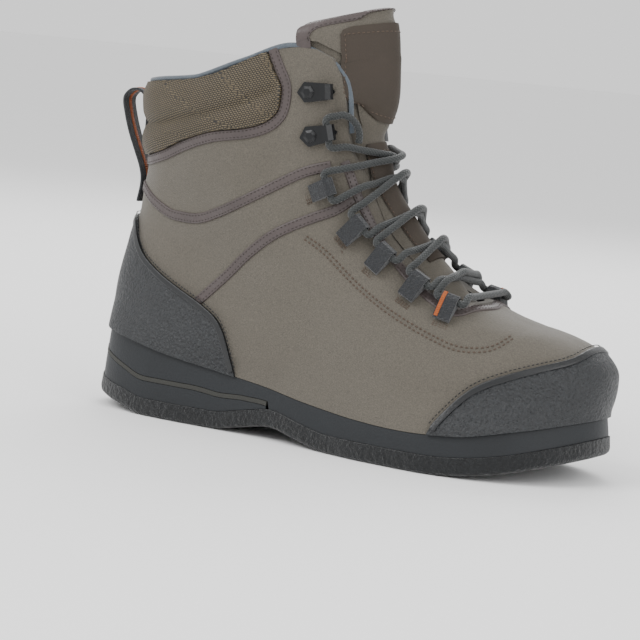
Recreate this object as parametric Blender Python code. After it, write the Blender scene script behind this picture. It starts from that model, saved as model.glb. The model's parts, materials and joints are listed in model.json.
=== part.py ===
"""A right wading boot with a felt sole, padded collar, webbing lace loops and speed hooks.

Metres, +Z up. +X runs to the toe and +Y to the inner side of the foot. The origin lies on
the floor under the middle of the heel's flat. The boot stands empty on heel and forefoot.
"""
import math

import bmesh
import bpy
import numpy as np
from mathutils import Matrix, Vector
from mathutils.bvhtree import BVHTree

# Overall sizes
SOLE_LENGTH = 0.310
BALL_WIDTH = 0.1145
HEEL_WIDTH = 0.081
COLLAR_HEIGHT = 0.216
TONGUE_STANDS = 0.026
HEEL_REST = 0.070

# Sole
FELT = 0.0098
HEEL_TOP = 0.046
FORE_TOP = 0.0200
HEEL_BEVEL = 0.0080
ARCH_RISE = 0.0070
TOE_SPRING = 0.0155
FLARE = 0.0030
FELT_ROUND = 0.0015
FELT_LIP = 0.0005
STRIPE = 0.0024
INSOLE = 0.0040

# Upper
WALL = 0.0024
GAP = 0.0003
RUBBER = 0.0014
TRIM = 0.0008
TRIM_WIDTH = 0.0058
PAD = 0.0030
PAD_EDGE = 0.0012
PIPING_RADIUS = 0.0015

# Tongue
TONGUE_CLEAR = 0.0008
TONGUE_HALF = 0.038
TONGUE_SWEEP = 0.043
TONGUE_THICK = 0.0045
PATCH = 0.0009

# Lacing
LACE_RADIUS = 0.0020
LACE_PLAY = 0.0006
LOOP_WIDTH = 0.0095
WEBBING = 0.0010
HOOK_PLATE = 0.0012
HOOK_WIDTH = 0.0085
PULL_WIDTH = 0.0120
PULL_THICK = 0.0014
HOOK_LENGTH = 0.0215
HOOK_TIP = 0.0030
HOOK_SWELL = 0.66
RIVET = 0.0038
RIVET_AT = -0.45
LACE_EXIT = 0.0030
LACE_TURN = 0.0050
LACE_APART = 0.0002
LACE_CLEAR = 0.0005
LACE_OVER = 0.0036
PUFF_REACH = 0.0080
THROAT_SEAM = 0.0024
THROAT_TRIM = 0.0045
PIPING_TURN = 0.24
PIPING_CLEAR = 0.0006

# Fineness of the mesh
ROUND = 28
LACE_SIDES = 6
LACE_POINTS = 12
LACE_STEPS = 15
LACE_SIDE = 0.35
LACE_ROUNDS = 4
PULL_POINTS = 16

# Sole outline: share of the length, then of the local width, out to each side
PLAN = (
    # along, outer, inner
    (0.000, 0.000, 0.000),
    (0.015, 0.210, 0.210),
    (0.050, 0.370, 0.358),
    (0.100, 0.463, 0.444),
    (0.160, 0.506, 0.488),
    (0.240, 0.519, 0.475),
    (0.340, 0.491, 0.405),
    (0.440, 0.450, 0.355),
    (0.540, 0.447, 0.380),
    (0.640, 0.480, 0.445),
    (0.730, 0.489, 0.498),
    (0.800, 0.463, 0.511),
    (0.880, 0.384, 0.472),
    (0.940, 0.271, 0.397),
    (0.980, 0.122, 0.288),
    (1.000, -0.079, 0.079),
)

# Height of the sole's underside, in shares of heel bevel, arch rise and toe spring
UNDERSIDE = (
    # along, bevel, arch, toe
    (0.000, 1.00, 0.00, 0.00),
    (0.040, 0.80, 0.00, 0.00),
    (0.100, 0.42, 0.00, 0.00),
    (0.155, 0.00, 0.00, 0.00),
    (0.300, 0.00, 0.00, 0.00),
    (0.370, 0.00, 0.55, 0.00),
    (0.430, 0.00, 1.00, 0.00),
    (0.500, 0.00, 0.42, 0.00),
    (0.560, 0.00, 0.00, 0.00),
    (0.760, 0.00, 0.00, 0.00),
    (0.820, 0.00, 0.00, 0.09),
    (0.880, 0.00, 0.00, 0.30),
    (0.950, 0.00, 0.00, 0.69),
    (1.000, 0.00, 0.00, 1.00),
)

# Top of the midsole, where the upper starts, in shares of its heel, forefoot and toe heights
FEATHER = (
    # along, heel, toe
    (0.00, 1.000, 0.00),
    (0.10, 0.846, 0.00),
    (0.20, 0.640, 0.00),
    (0.30, 0.488, 0.00),
    (0.40, 0.346, 0.00),
    (0.50, 0.170, 0.00),
    (0.60, 0.050, 0.00),
    (0.70, 0.000, 0.00),
    (0.80, 0.000, 0.10),
    (0.90, 0.000, 0.50),
    (1.00, 0.000, 1.00),
)

# Top of the olive stripe that tapers into the arch: height above the felt, in shares of its rise
STRIPE_RISE = 0.0190
STRIPE_END = 0.42
STRIPE_STEP = 0.003
STRIPE_LINE = (
    # along, rise
    (0.00, 0.95),
    (0.08, 0.76),
    (0.14, 0.66),
    (0.25, 0.66),
    (0.35, 0.48),
    (0.43, 0.20),
)

# Shares of the length at which the layers' lines have a point
STATIONS = (
    0, 0.02, 0.04, 0.07, 0.10, 0.13, 0.155, 0.20, 0.25, 0.30, 0.325, 0.35, 0.37, 0.39, 0.41,
    0.43, 0.45, 0.47, 0.50, 0.53, 0.56, 0.60, 0.65, 0.70, 0.76, 0.79, 0.82, 0.85, 0.88, 0.91,
    0.94, 0.97, 1.0,
)

# Rings of the last from feather line to collar. Places are shares of the sole's length,
# rises are shares of the way from feather line to collar, widths are shares of the heel's
# width, and of the ball's for the last two. The two rounds are powers of the end curves.
LAST = (
    # back, back_rise, front, front_rise, bow, heel, waist_out, waist_in,
    # ball_out, ball_in, back_round, front_round, turn
    (0.016, 0.000, 0.987, 0.000, 0.000, 0.46, 0.51, 0.41, 0.445, 0.454, 2.3, 2.2, 0.110),
    (0.013, 0.047, 0.996, 0.053, 0.012, 0.47, 0.52, 0.44, 0.463, 0.472, 2.3, 2.3, 0.110),
    (0.015, 0.118, 0.995, 0.120, 0.027, 0.45, 0.51, 0.47, 0.447, 0.456, 2.3, 2.4, 0.110),
    (0.021, 0.212, 0.972, 0.186, 0.042, 0.42, 0.48, 0.47, 0.405, 0.420, 2.3, 2.4, 0.105),
    (0.032, 0.312, 0.924, 0.244, 0.040, 0.38, 0.46, 0.46, 0.352, 0.368, 2.3, 2.4, 0.090),
    (0.041, 0.400, 0.855, 0.289, 0.030, 0.37, 0.45, 0.45, 0.316, 0.325, 2.2, 2.4, 0.060),
    (0.048, 0.482, 0.770, 0.342, 0.015, 0.37, 0.45, 0.45, 0.294, 0.300, 2.2, 2.6, 0.035),
    (0.052, 0.559, 0.683, 0.406, 0.000, 0.38, 0.45, 0.45, 0.284, 0.288, 2.2, 2.8, 0.018),
    (0.054, 0.635, 0.599, 0.500, 0.000, 0.39, 0.46, 0.46, 0.282, 0.284, 2.2, 2.8, 0.009),
    (0.055, 0.712, 0.545, 0.637, 0.000, 0.40, 0.47, 0.47, 0.288, 0.288, 2.2, 2.7, 0.000),
    (0.052, 0.788, 0.520, 0.812, 0.000, 0.42, 0.48, 0.48, 0.297, 0.297, 2.2, 2.6, 0.000),
    (0.0495, 0.906, 0.505, 1.091, 0.000, 0.4325, 0.4925, 0.4925, 0.308, 0.308, 2.2, 2.6, 0.000),
)
LEVELS = (0, 0.6, 1.4, 2.3, 3.3, 4.4, 5.6, 7.0, 8.4, 9.7, 11)
PAD_LEVELS = 8
EDGE_POINTS = 34
TONGUE_STEPS = (0.19, 0.43, 0.72)
TONGUE_LEVELS = (0, 1.5, 3, 4.5, 6, 7.0, 7.7, 8.4, 9.1, 9.8, 10.6, 13, 14.2, 15)

# Lines on the side of the upper: share of the sole's length, share of the rise to the collar
COLLAR_LINE = (
    (-0.06, 0.828), (0.05, 0.836), (0.12, 0.852), (0.20, 0.872), (0.26, 0.905),
    (0.305, 0.945), (0.348, 0.981), (0.390, 1.000), (0.434, 1.000), (0.460, 0.979),
    (0.472, 0.948), (0.4855, 0.875), (0.491, 0.811), (0.4975, 0.758), (0.502, 0.7305),
)
THROAT_LINE = (
    (0.5115, 0.703), (0.5205, 0.677), (0.540, 0.612), (0.557, 0.573), (0.572, 0.540),
    (0.5865, 0.511), (0.617, 0.4665), (0.652, 0.4225), (0.685, 0.3885), (0.717, 0.3615),
    (0.745, 0.3425), (0.760, 0.3415), (0.768, 0.362), (0.772, 0.400),
)
TOE_CAP_LINE = (
    (0.970, 0.280), (0.958, 0.214), (0.946, 0.188), (0.916, 0.178), (0.878, 0.166), (0.840, 0.150),
    (0.815, 0.133), (0.795, 0.104), (0.775, 0.060), (0.760, 0.022), (0.745, -0.060),
)
COUNTER_LINE = (
    (-0.05, 0.395), (0.045, 0.382), (0.060, 0.365), (0.078, 0.315), (0.102, 0.274), (0.140, 0.244),
    (0.200, 0.212), (0.262, 0.182), (0.300, 0.150), (0.325, 0.090), (0.345, 0.010), (0.358, -0.060),
)
PAD_LINE = (
    (-0.05, 0.590), (0.065, 0.598), (0.120, 0.625), (0.175, 0.672), (0.252, 0.722),
    (0.316, 0.746), (0.352, 0.772), (0.374, 0.815), (0.376, 0.870), (0.360, 0.925), (0.335, 1.060),
)
PAD_CREASE = ((-0.05, 0.700), (0.070, 0.704), (0.210, 0.762), (0.280, 0.800), (0.367, 0.874))
ANKLE_LINE = (
    (-0.05, 0.505), (0.060, 0.490), (0.110, 0.452), (0.165, 0.430), (0.208, 0.436), (0.275, 0.480),
    (0.330, 0.533), (0.387, 0.596), (0.442, 0.650), (0.478, 0.672),
)
QUARTER_LINE = (
    (0.240, 0.180), (0.262, 0.218), (0.298, 0.289), (0.338, 0.367), (0.400, 0.457), (0.457, 0.516),
    (0.505, 0.559), (0.521, 0.590),
)

# Middle line of the tongue's front, from under the vamp to its top edge. Past 1 the rise
# counts in shares of how far the tongue stands above the collar.
TONGUE = (
    # along, rise, half, sweep, thick
    (0.795, 0.290, 0.66, 0.22, 1.10),
    (0.745, 0.345, 0.68, 0.26, 1.35),
    (0.705, 0.402, 0.70, 0.34, 1.30),
    (0.668, 0.455, 0.72, 0.43, 1.15),
    (0.622, 0.520, 0.74, 0.52, 1.00),
    (0.576, 0.600, 0.78, 0.60, 1.00),
    (0.551, 0.668, 0.86, 0.74, 1.00),
    (0.541, 0.716, 0.90, 0.84, 1.00),
    (0.529, 0.768, 0.94, 0.92, 1.00),
    (0.537, 0.806, 0.97, 0.97, 1.45),
    (0.546, 0.858, 1.00, 1.00, 1.80),
    (0.545, 0.930, 1.00, 1.00, 1.80),
    (0.540, 1.120, 1.00, 0.98, 1.80),
    (0.529, 1.700, 0.98, 0.95, 1.60),
    (0.524, 1.900, 0.92, 0.93, 1.30),
    (0.521, 2.000, 0.78, 0.86, 0.70),
)
TONGUE_FOLD = 0.35

# Leather patches on the tongue: rows of TONGUE from and to, reach to each side in shares of
# the tongue's half width at the lower end and further up
PATCHES = (
    # name, start, end, low_reach, reach
    ("tongue_patch_lower", 3, 7.7, 0.33, 0.33),
    ("tongue_patch_upper", 9.1, 13.0, 0.36, 0.63),
)

# Lace loops, from the toe up: base and tip on the side of the upper
LOOPS = (
    # base_along, base_rise, tip_along, tip_rise
    (0.7270, 0.296, 0.7288, 0.339),
    (0.6544, 0.342, 0.6679, 0.386),
    (0.5815, 0.402, 0.5997, 0.450),
    (0.5192, 0.468, 0.5447, 0.517),
    (0.4507, 0.583, 0.4834, 0.612),
)

# Speed hooks, from the lower up: rear and front end of the plate
HOOKS = (
    # rear_along, rear_rise, front_along, front_rise
    (0.4196, 0.739, 0.4832, 0.772),
    (0.4091, 0.870, 0.4704, 0.884),
)

# Webbing loop at the back: its middle line, in metres behind the upper, at shares of the rise
PULL_LINE = (
    # out, rise
    (0.0044, 0.640), (0.0044, 0.700), (0.0046, 0.755), (0.0064, 0.790), (0.0110, 0.808),
    (0.0165, 0.803), (0.0205, 0.775), (0.0192, 0.720), (0.0152, 0.660), (0.0098, 0.600),
    (0.0048, 0.545), (0.0026, 0.500), (0.0026, 0.430),
)

# Free lace end that leaves the lower hook, goes over the piping and in beside the tongue
LACE_END = (
    # along, across, rise
    (0.4800, 0.252, 0.815),
    (0.4960, 0.240, 0.822),
    (0.5100, 0.205, 0.805),
    (0.5150, 0.172, 0.775),
    (0.5130, 0.162, 0.748),
)


def smooth(knots, values, at):
    """Read a smooth curve through the given values that never swings past them."""
    knots = np.asarray(knots, float)
    values = np.asarray(values, float)
    at = np.clip(np.asarray(at, float), knots[0], knots[-1])
    step = np.diff(knots)
    slope = np.diff(values) / step
    tangent = np.zeros(len(knots))
    tangent[0], tangent[-1] = slope[0], slope[-1]
    for i in range(1, len(knots) - 1):
        if slope[i - 1] * slope[i] > 0:
            before = 2 * step[i] + step[i - 1]
            after = step[i] + 2 * step[i - 1]
            tangent[i] = (before + after) / (before / slope[i - 1] + after / slope[i])
    i = np.clip(np.searchsorted(knots, at, side="right") - 1, 0, len(knots) - 2)
    t = (at - knots[i]) / step[i]
    return (
        (2 * t**3 - 3 * t**2 + 1) * values[i]
        + (t**3 - 2 * t**2 + t) * step[i] * tangent[i]
        + (3 * t**2 - 2 * t**3) * values[i + 1]
        + (t**3 - t**2) * step[i] * tangent[i + 1]
    )


def ease(start, end, at):
    """Go from 0 to 1 between start and end with soft ends."""
    t = np.clip((np.asarray(at, float) - start) / (end - start), 0, 1)
    return t * t * (3 - 2 * t)


def column(table, index):
    return np.array([row[index] for row in table])


def underside(x):
    """Height of the sole's underside at a distance from its back end."""
    along = np.asarray(x, float) / SOLE_LENGTH
    bevel, arch, toe = (smooth(column(UNDERSIDE, 0), column(UNDERSIDE, i), along) for i in (1, 2, 3))
    return bevel * HEEL_BEVEL + arch * ARCH_RISE + toe * TOE_SPRING


def feather(x):
    """Height of the midsole's top at a distance from the sole's back end."""
    along = np.asarray(x, float) / SOLE_LENGTH
    heel, toe = (smooth(column(FEATHER, 0), column(FEATHER, i), along) for i in (1, 2))
    return FORE_TOP + heel * (HEEL_TOP - FORE_TOP) + toe * TOE_SPRING


def lift(along, rise):
    """Place on the side of the boot from its shares: distance from the back, and height."""
    along = np.asarray(along, float)
    rise = np.asarray(rise, float)
    foot = feather(along * SOLE_LENGTH)
    low = foot + np.minimum(rise, 1) * (COLLAR_HEIGHT - foot)
    return along * SOLE_LENGTH, low + np.maximum(rise - 1, 0) * TONGUE_STANDS


def turn_angles():
    """Angles round a ring: 0 at the back, then the outer side, the toe and the inner side."""
    return np.arange(ROUND) * 2 * math.pi / ROUND


def sole_edge(grow):
    """Points of the sole's outline, seen from above, moved outwards by grow."""
    angle = turn_angles()
    half_turn = np.where(angle > math.pi, 2 * math.pi - angle, angle)
    along = 0.5 * (1 - np.cos(half_turn))
    knots = np.arccos(1 - 2 * column(PLAN, 0))
    width = HEEL_WIDTH + (BALL_WIDTH - HEEL_WIDTH) * ease(0.25, 0.60, along)
    outer = smooth(knots, column(PLAN, 1), half_turn) * width
    inner = smooth(knots, column(PLAN, 2), half_turn) * width
    y = np.where(angle > math.pi, inner, -outer)
    edge = np.stack([along * SOLE_LENGTH, y], 1)
    tangent = np.roll(edge, -1, 0) - np.roll(edge, 1, 0)
    tangent /= np.linalg.norm(tangent, axis=1, keepdims=True)
    return edge + grow * np.stack([tangent[:, 1], -tangent[:, 0]], 1)


def end_curve(share, power, reach):
    """Close a ring's end: 0 at its tip, 1 from reach onwards."""
    left = np.clip(1 - share / reach, 0, 1)
    return (1 - left**power) ** (1 / power)


def last_point(level, share, side):
    """A point of the upper's outer form, on its outer (-1) or inner (+1) side.

    level counts the rows of LAST, and share runs from the ring's back to its front.
    """
    rows = np.arange(len(LAST))
    (back, back_rise, front, front_rise, bow, heel, waist_out, waist_in, ball_out, ball_in,
     back_round, front_round, turn) = (smooth(rows, column(LAST, i), level) for i in range(13))
    waist = np.where(side < 0, waist_out, waist_in) * HEEL_WIDTH
    ball = np.where(side < 0, ball_out, ball_in) * BALL_WIDTH
    heel = heel * HEEL_WIDTH
    low = heel + (waist - heel) * ease(0.16, 0.44, share)
    half = low + (ball - waist) * ease(0.44, 0.72, share)
    half = half * end_curve(share, back_round, 0.30) * end_curve(1 - share, front_round, 0.42)
    along = back + (front - back) * share
    middle = turn * BALL_WIDTH * np.clip((share - 0.45) / 0.55, 0, 1) ** 1.6
    rise = back_rise + (front_rise - back_rise) * share + bow * 4 * share * (1 - share)
    x = along * SOLE_LENGTH
    foot = feather(x)
    return np.stack([x, middle + side * half, foot + rise * (COLLAR_HEIGHT - foot)], -1)


def last_ring(level):
    """One closed ring of the last. Near the sole it takes the shape of the midsole's edge."""
    angle = turn_angles()
    share = 0.5 * (1 - np.cos(angle))
    side = np.where(angle < math.pi, -1.0, 1.0)
    ring = last_point(np.full(ROUND, float(level)), share, side)
    edge = sole_edge(-FLARE)
    weight = 1 - ease(0, 1.8, level)
    ring[:, 2] += weight * (feather(edge[:, 0]) - feather(ring[:, 0]))
    ring[:, :2] += weight * (edge - ring[:, :2])
    return ring


def last_grid(levels):
    """Rings of the last at the given levels and the outward direction at each of their points."""
    grid = np.array([last_ring(level) for level in levels])
    along = np.roll(grid, -1, 1) - np.roll(grid, 1, 1)
    up = np.gradient(grid, axis=0)
    normal = np.cross(along, up)
    normal /= np.linalg.norm(normal, axis=2, keepdims=True)
    return grid, normal


GRID, NORMAL = last_grid(LEVELS)


def form_rings(offset, below, above):
    """Rings of the last moved outwards by offset, carried on below the sole's edge and above."""
    rings = list(GRID + NORMAL * offset)
    flat = NORMAL[0] * np.array([1, 1, 0])
    flat /= np.linalg.norm(flat, axis=1, keepdims=True)
    rings[0] = GRID[0] + flat * offset
    lowest = rings[0] - np.array([0, 0, below])
    highest = rings[-1] + np.array([0, 0, above])
    return [lowest] + rings + [highest]


def on_side(along, rise, side, offset=0.0):
    """Point and outward direction on the upper, at a place given by its side-view shares."""
    x, z = lift(along, rise)
    rows = np.arange(len(LAST))
    low, high = 0.0, float(rows[-1])

    def place(level):
        back, front = (float(smooth(rows, column(LAST, i), level)) for i in (0, 2))
        share = (along - back) / (front - back)
        return share, last_point(level, min(max(share, 0.0), 1.0), side)

    for _ in range(40):
        level = (low + high) / 2
        share, point = place(level)
        if share > 1 or point[2] > z:
            high = level
        else:
            low = level
    share, point = place(low)
    share = min(max(share, 0.01), 0.99)
    step = 0.004
    across = last_point(low, share + step, side) - last_point(low, share - step, side)
    up = last_point(min(low + 0.05, rows[-1]), share, side) - last_point(low - 0.05, share, side)
    normal = np.cross(across, up) * -side
    normal /= np.linalg.norm(normal)
    return point + normal * offset, normal


def at_collar(share, side, offset, above):
    """Point of the upper's rim at a share of its ring, above the collar's line."""
    along, rise = (column(COLLAR_LINE, i) for i in (0, 1))
    low, high = 6.0, float(len(LAST) - 1)
    for _ in range(40):
        level = (low + high) / 2
        point = last_point(level, share, side)
        line = lift(point[0] / SOLE_LENGTH, smooth(along, rise, point[0] / SOLE_LENGTH))[1]
        if point[2] > line + above:
            high = level
        else:
            low = level
    step = 0.01
    near = min(max(share, 0.005), 0.995)
    across = last_point(low, near + step / 2, side) - last_point(low, near - step / 2, side)
    up = last_point(low, near, side) - last_point(low - 0.3, near, side)
    normal = np.cross(across, up) * -side
    if share < 0.001:
        normal = np.array([-1.0, 0.0, 0.0])
    normal /= np.linalg.norm(normal)
    return point + normal * offset


def material(name, colour, roughness, metallic=0.0):
    found = bpy.data.materials.get(name)
    if found:
        return found
    made = bpy.data.materials.new(name)
    made.use_nodes = True
    surface = made.node_tree.nodes["Principled BSDF"]
    surface.inputs["Base Color"].default_value = (*colour, 1)
    surface.inputs["Roughness"].default_value = roughness
    surface.inputs["Metallic"].default_value = metallic
    return made


FELT_LOOK = ("felt", (0.022, 0.026, 0.030), 0.95)
RUBBER_LOOK = ("midsole_rubber", (0.020, 0.026, 0.031), 0.55)
STRIPE_LOOK = ("olive_foam", (0.060, 0.060, 0.050), 0.70)
CAP_LOOK = ("pebbled_rubber", (0.026, 0.032, 0.038), 0.45)
FABRIC_LOOK = ("upper_fabric", (0.262, 0.231, 0.181), 0.85)
PAD_LOOK = ("pad_weave", (0.216, 0.162, 0.089), 0.80)
TRIM_LOOK = ("trim", (0.156, 0.117, 0.112), 0.60)
PIPING_LOOK = ("piping", (0.223, 0.262, 0.352), 0.70)
LEATHER_LOOK = ("leather", (0.098, 0.072, 0.051), 0.60)
WEBBING_LOOK = ("webbing", (0.021, 0.027, 0.037), 0.85)
LACE_LOOK = ("lace_cord", (0.042, 0.051, 0.051), 0.80)
METAL_LOOK = ("black_metal", (0.010, 0.011, 0.013), 0.30, 0.6)
LINING_LOOK = ("insole_foam", (0.050, 0.052, 0.056), 0.90)


def add_object(name, mesh, look=None):
    """Put a mesh in the scene; without a look it is a guide that only shapes others."""
    thing = bpy.data.objects.new(name, mesh)
    bpy.context.scene.collection.objects.link(thing)
    thing.location.x = -HEEL_REST
    if look:
        mesh.materials.append(material(*look))
    else:
        thing.hide_render = True
        thing.display_type = "WIRE"
    return thing


def mesh_from(name, points, faces):
    mesh = bpy.data.meshes.new(name)
    mesh.from_pydata([tuple(map(float, p)) for p in points], [], faces)
    work = bmesh.new()
    work.from_mesh(mesh)
    bmesh.ops.recalc_face_normals(work, faces=work.faces)
    work.to_mesh(mesh)
    work.free()
    mesh.shade_smooth()
    mesh.set_sharp_from_angle(angle=math.radians(40))
    return mesh


def stack(name, rings, look=None, split=True):
    """Close a pile of equal rings, whose ends are filled in strips across the boot.

    Forms are split by one and the same diagonal, so that what lies between two of them fits.
    """
    count = len(rings[0])
    points = np.concatenate(rings)
    faces = []
    for level in range(len(rings) - 1):
        low, high = level * count, (level + 1) * count
        for i in range(count):
            k = (i + 1) % count
            if split:
                faces += [(low + i, low + k, high + k), (low + i, high + k, high + i)]
            else:
                faces.append((low + i, low + k, high + k, high + i))
    for start in (0, (len(rings) - 1) * count):
        faces.append((start, start + 1, start + count - 1))
        for i in range(1, count // 2 - 1):
            faces.append((start + i, start + i + 1, start + count - i - 1, start + count - i))
        middle = count // 2
        faces.append((start + middle - 1, start + middle, start + middle + 1))
    return add_object(name, mesh_from(name, points, faces), look)


def prism(name, outline, low_y, high_y, look=None):
    """A side-view outline of (x, z) points, extruded across the boot."""
    count = len(outline)
    points = [(x, low_y, z) for x, z in outline] + [(x, high_y, z) for x, z in outline]
    faces = [tuple(range(count)), tuple(range(2 * count - 1, count - 1, -1))]
    for i in range(count):
        k = (i + 1) % count
        faces.append((i, k, count + k, count + i))
    mesh = mesh_from(name, points, faces)
    work = bmesh.new()
    work.from_mesh(mesh)
    bmesh.ops.triangulate(work, faces=[f for f in work.faces if len(f.verts) > 4])
    work.to_mesh(mesh)
    work.free()
    return add_object(name, mesh, look)


def boolean(target, operation, *tools):
    for tool in tools:
        change = target.modifiers.new(operation.lower(), "BOOLEAN")
        change.operation = operation
        change.solver = "EXACT"
        change.object = tool
    return target


def line(points, count, offset=0.0):
    """A smooth side-view line through share points, as (x, z), moved to its left by offset."""
    x, z = lift(column(points, 0), column(points, 1))
    run = np.concatenate([[0], np.cumsum(np.hypot(np.diff(x), np.diff(z)))])
    at = np.linspace(0, run[-1], count)
    path = np.stack([smooth(run, x, at), smooth(run, z, at)], 1)
    tangent = np.gradient(path, axis=0)
    tangent /= np.linalg.norm(tangent, axis=1, keepdims=True)
    return path + np.reshape(offset, (-1, 1)) * np.stack([-tangent[:, 1], tangent[:, 0]], 1)


def length(points):
    x, z = lift(column(points, 0), column(points, 1))
    return float(np.sum(np.hypot(np.diff(x), np.diff(z))))


def band(points, count, left, right):
    """Outline of a band along a side-view line, from left of it to right of it."""
    return np.concatenate([line(points, count, left), line(points, count, -right)[::-1]])


REACH = 0.10
ABOVE = COLLAR_HEIGHT + 2 * TONGUE_STANDS
BEYOND = SOLE_LENGTH * 1.1
EDGE_LINE = COLLAR_LINE + THROAT_LINE


def stations(start=-0.1, end=1.1, extra=()):
    """Distances at which every layer line of the sole has a point, between two shares."""
    inner = [share for share in STATIONS if start < share < end]
    return np.array(sorted([start, *inner, end, *extra])) * SOLE_LENGTH


def between(low, high, x):
    """Side-view outline between two heights."""
    return list(zip(x, low(x))) + list(zip(x[::-1], high(x[::-1])))


def sole_cutter():
    """All that lies below the midsole's top, with the clearance of the upper."""
    outline = between(lambda x: 0 * x - 0.04, lambda x: feather(x) + GAP, stations())
    return prism("guide_sole", outline, -REACH, REACH)


def edge_cutter(name, offset):
    """All that lies above the collar's line and in front of the throat's."""
    edge = line(EDGE_LINE, EDGE_POINTS, offset)
    return prism(name, [*edge, (edge[-1][0], ABOVE), (edge[0][0], ABOVE)], -REACH, REACH)


def make_guides():
    return {
        "inside": stack("guide_inside", form_rings(-WALL, 0.009, 0.010)),
        "seat": stack("guide_seat", form_rings(GAP, 0.007, 0.004)),
        "rubber": stack("guide_rubber", form_rings(GAP + RUBBER, 0.006, 0.003)),
        "trim": stack("guide_trim", form_rings(GAP + TRIM, 0.006, 0.003)),
        "sole": sole_cutter(),
        "edge": edge_cutter("guide_edge", 0.0),
    }


def sole_ring(height, grow):
    edge = sole_edge(grow)
    return np.column_stack([edge, height(edge[:, 0])])


def felt_top(x):
    return underside(x) + FELT


def stripe_top(x):
    rise = smooth(column(STRIPE_LINE, 0), column(STRIPE_LINE, 1), x / SOLE_LENGTH)
    return felt_top(x) + rise * STRIPE_RISE


def stripe_low(x):
    return np.maximum(stripe_top(x) - STRIPE, felt_top(x) + GAP)


def midsole_low(x):
    over_stripe = np.where(x < (STRIPE_END + STRIPE_STEP) * SOLE_LENGTH, stripe_top(x) + GAP, 0)
    return np.maximum(over_stripe, felt_top(x) + GAP)


def make_sole():
    """Felt, wedge, stripe and midsole: layers of one block with flared sides."""
    felt = stack("felt_outsole", [
        sole_ring(underside, -FELT_ROUND),
        sole_ring(lambda x: underside(x) + FELT_ROUND, 0.0),
        sole_ring(lambda x: underside(x) + 1.5 * FELT, -FLARE * 0.4),
    ], FELT_LOOK, split=False)
    above = between(felt_top, lambda x: 0 * x + ABOVE, stations())
    boolean(felt, "DIFFERENCE", prism("guide_felt", above, -REACH, REACH))

    def layer(name, low, high, x, look):
        block = stack(name, [
            sole_ring(lambda x: underside(x) + FELT / 2, -FLARE * 0.15 - FELT_LIP),
            sole_ring(lambda x: feather(x) + 0.004, -FLARE - FELT_LIP / 2),
        ], look, split=False)
        cutter = prism("guide_" + name, between(low, high, x), -REACH, REACH)
        return boolean(block, "INTERSECT", cutter)

    layer("heel_wedge", lambda x: felt_top(x) + GAP, lambda x: stripe_low(x) - GAP,
          stations(end=STRIPE_END), RUBBER_LOOK)
    layer("wedge_stripe", stripe_low, stripe_top, stations(end=STRIPE_END), STRIPE_LOOK)
    step = (STRIPE_END + STRIPE_STEP * 0.99, STRIPE_END + STRIPE_STEP * 1.01)
    layer("midsole", midsole_low, feather, stations(extra=step), RUBBER_LOOK)


def make_insole():
    x = stations()
    x = np.concatenate([x[:-8:2], x[-8:]])
    outline = between(lambda x: feather(x) + GAP, lambda x: feather(x) + GAP + INSOLE, x)
    insole = prism("insole", outline, -REACH, REACH, LINING_LOOK)
    boolean(insole, "INTERSECT", stack("guide_lining", form_rings(-WALL - GAP, 0.009, 0.010)))


def make_upper(guides):
    upper = stack("upper", form_rings(0.0, 0.005, 0.0), FABRIC_LOOK)
    boolean(upper, "DIFFERENCE", guides["inside"], guides["sole"], guides["edge"])
    return upper


def overlay(name, outline, outer, guides, look, cutters=(), low_y=-REACH, high_y=REACH):
    """A piece that lies on the upper: a side-view outline kept between two of its forms."""
    piece = prism(name, outline, low_y, high_y, look)
    boolean(piece, "INTERSECT", outer)
    boolean(piece, "DIFFERENCE", guides["seat"], *cutters)
    return piece


def make_rubber(guides):
    """Toe cap and heel counter."""
    toe = [*line(TOE_CAP_LINE, 13), (BEYOND, -0.02), (BEYOND, ABOVE / 2)]
    overlay("toe_cap", toe, guides["rubber"], guides, CAP_LOOK, [guides["sole"]])
    counter = [*line(COUNTER_LINE, 13), (-0.03, -0.02)]
    overlay("heel_counter", counter, guides["rubber"], guides, CAP_LOOK, [guides["sole"]])


def nearest(points, path):
    """Distance of each (x, z) point to a path."""
    apart = points[:, None, :] - np.asarray(path)[None, :, :]
    return np.min(np.hypot(apart[..., 0], apart[..., 1]), axis=1)


def make_pad(guides):
    """Two puffs of woven padding, with a crease between them, round the back of the collar."""
    grid, normal = last_grid(np.linspace(6.6, len(LAST) - 1, PAD_LEVELS))
    rim = line(COLLAR_LINE, 60)
    edges = [line(PAD_LINE, 60), line(PAD_CREASE, 60), rim]
    rings = []
    for ring, outward in zip(grid, normal):
        near = np.min([nearest(ring[:, [0, 2]], edge) for edge in edges], axis=0)
        puff = np.sin(np.clip(near / PUFF_REACH, 0, 1) * math.pi / 2)
        rings.append(ring + outward * (GAP + PAD_EDGE + (PAD - PAD_EDGE) * puff)[:, None])
    outside = stack("guide_pad", rings)
    outline = [*line(PAD_LINE, 12), (-0.03, ABOVE)]
    overlay("collar_pad", outline, outside, guides, PAD_LOOK, [guides["edge"]])


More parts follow.
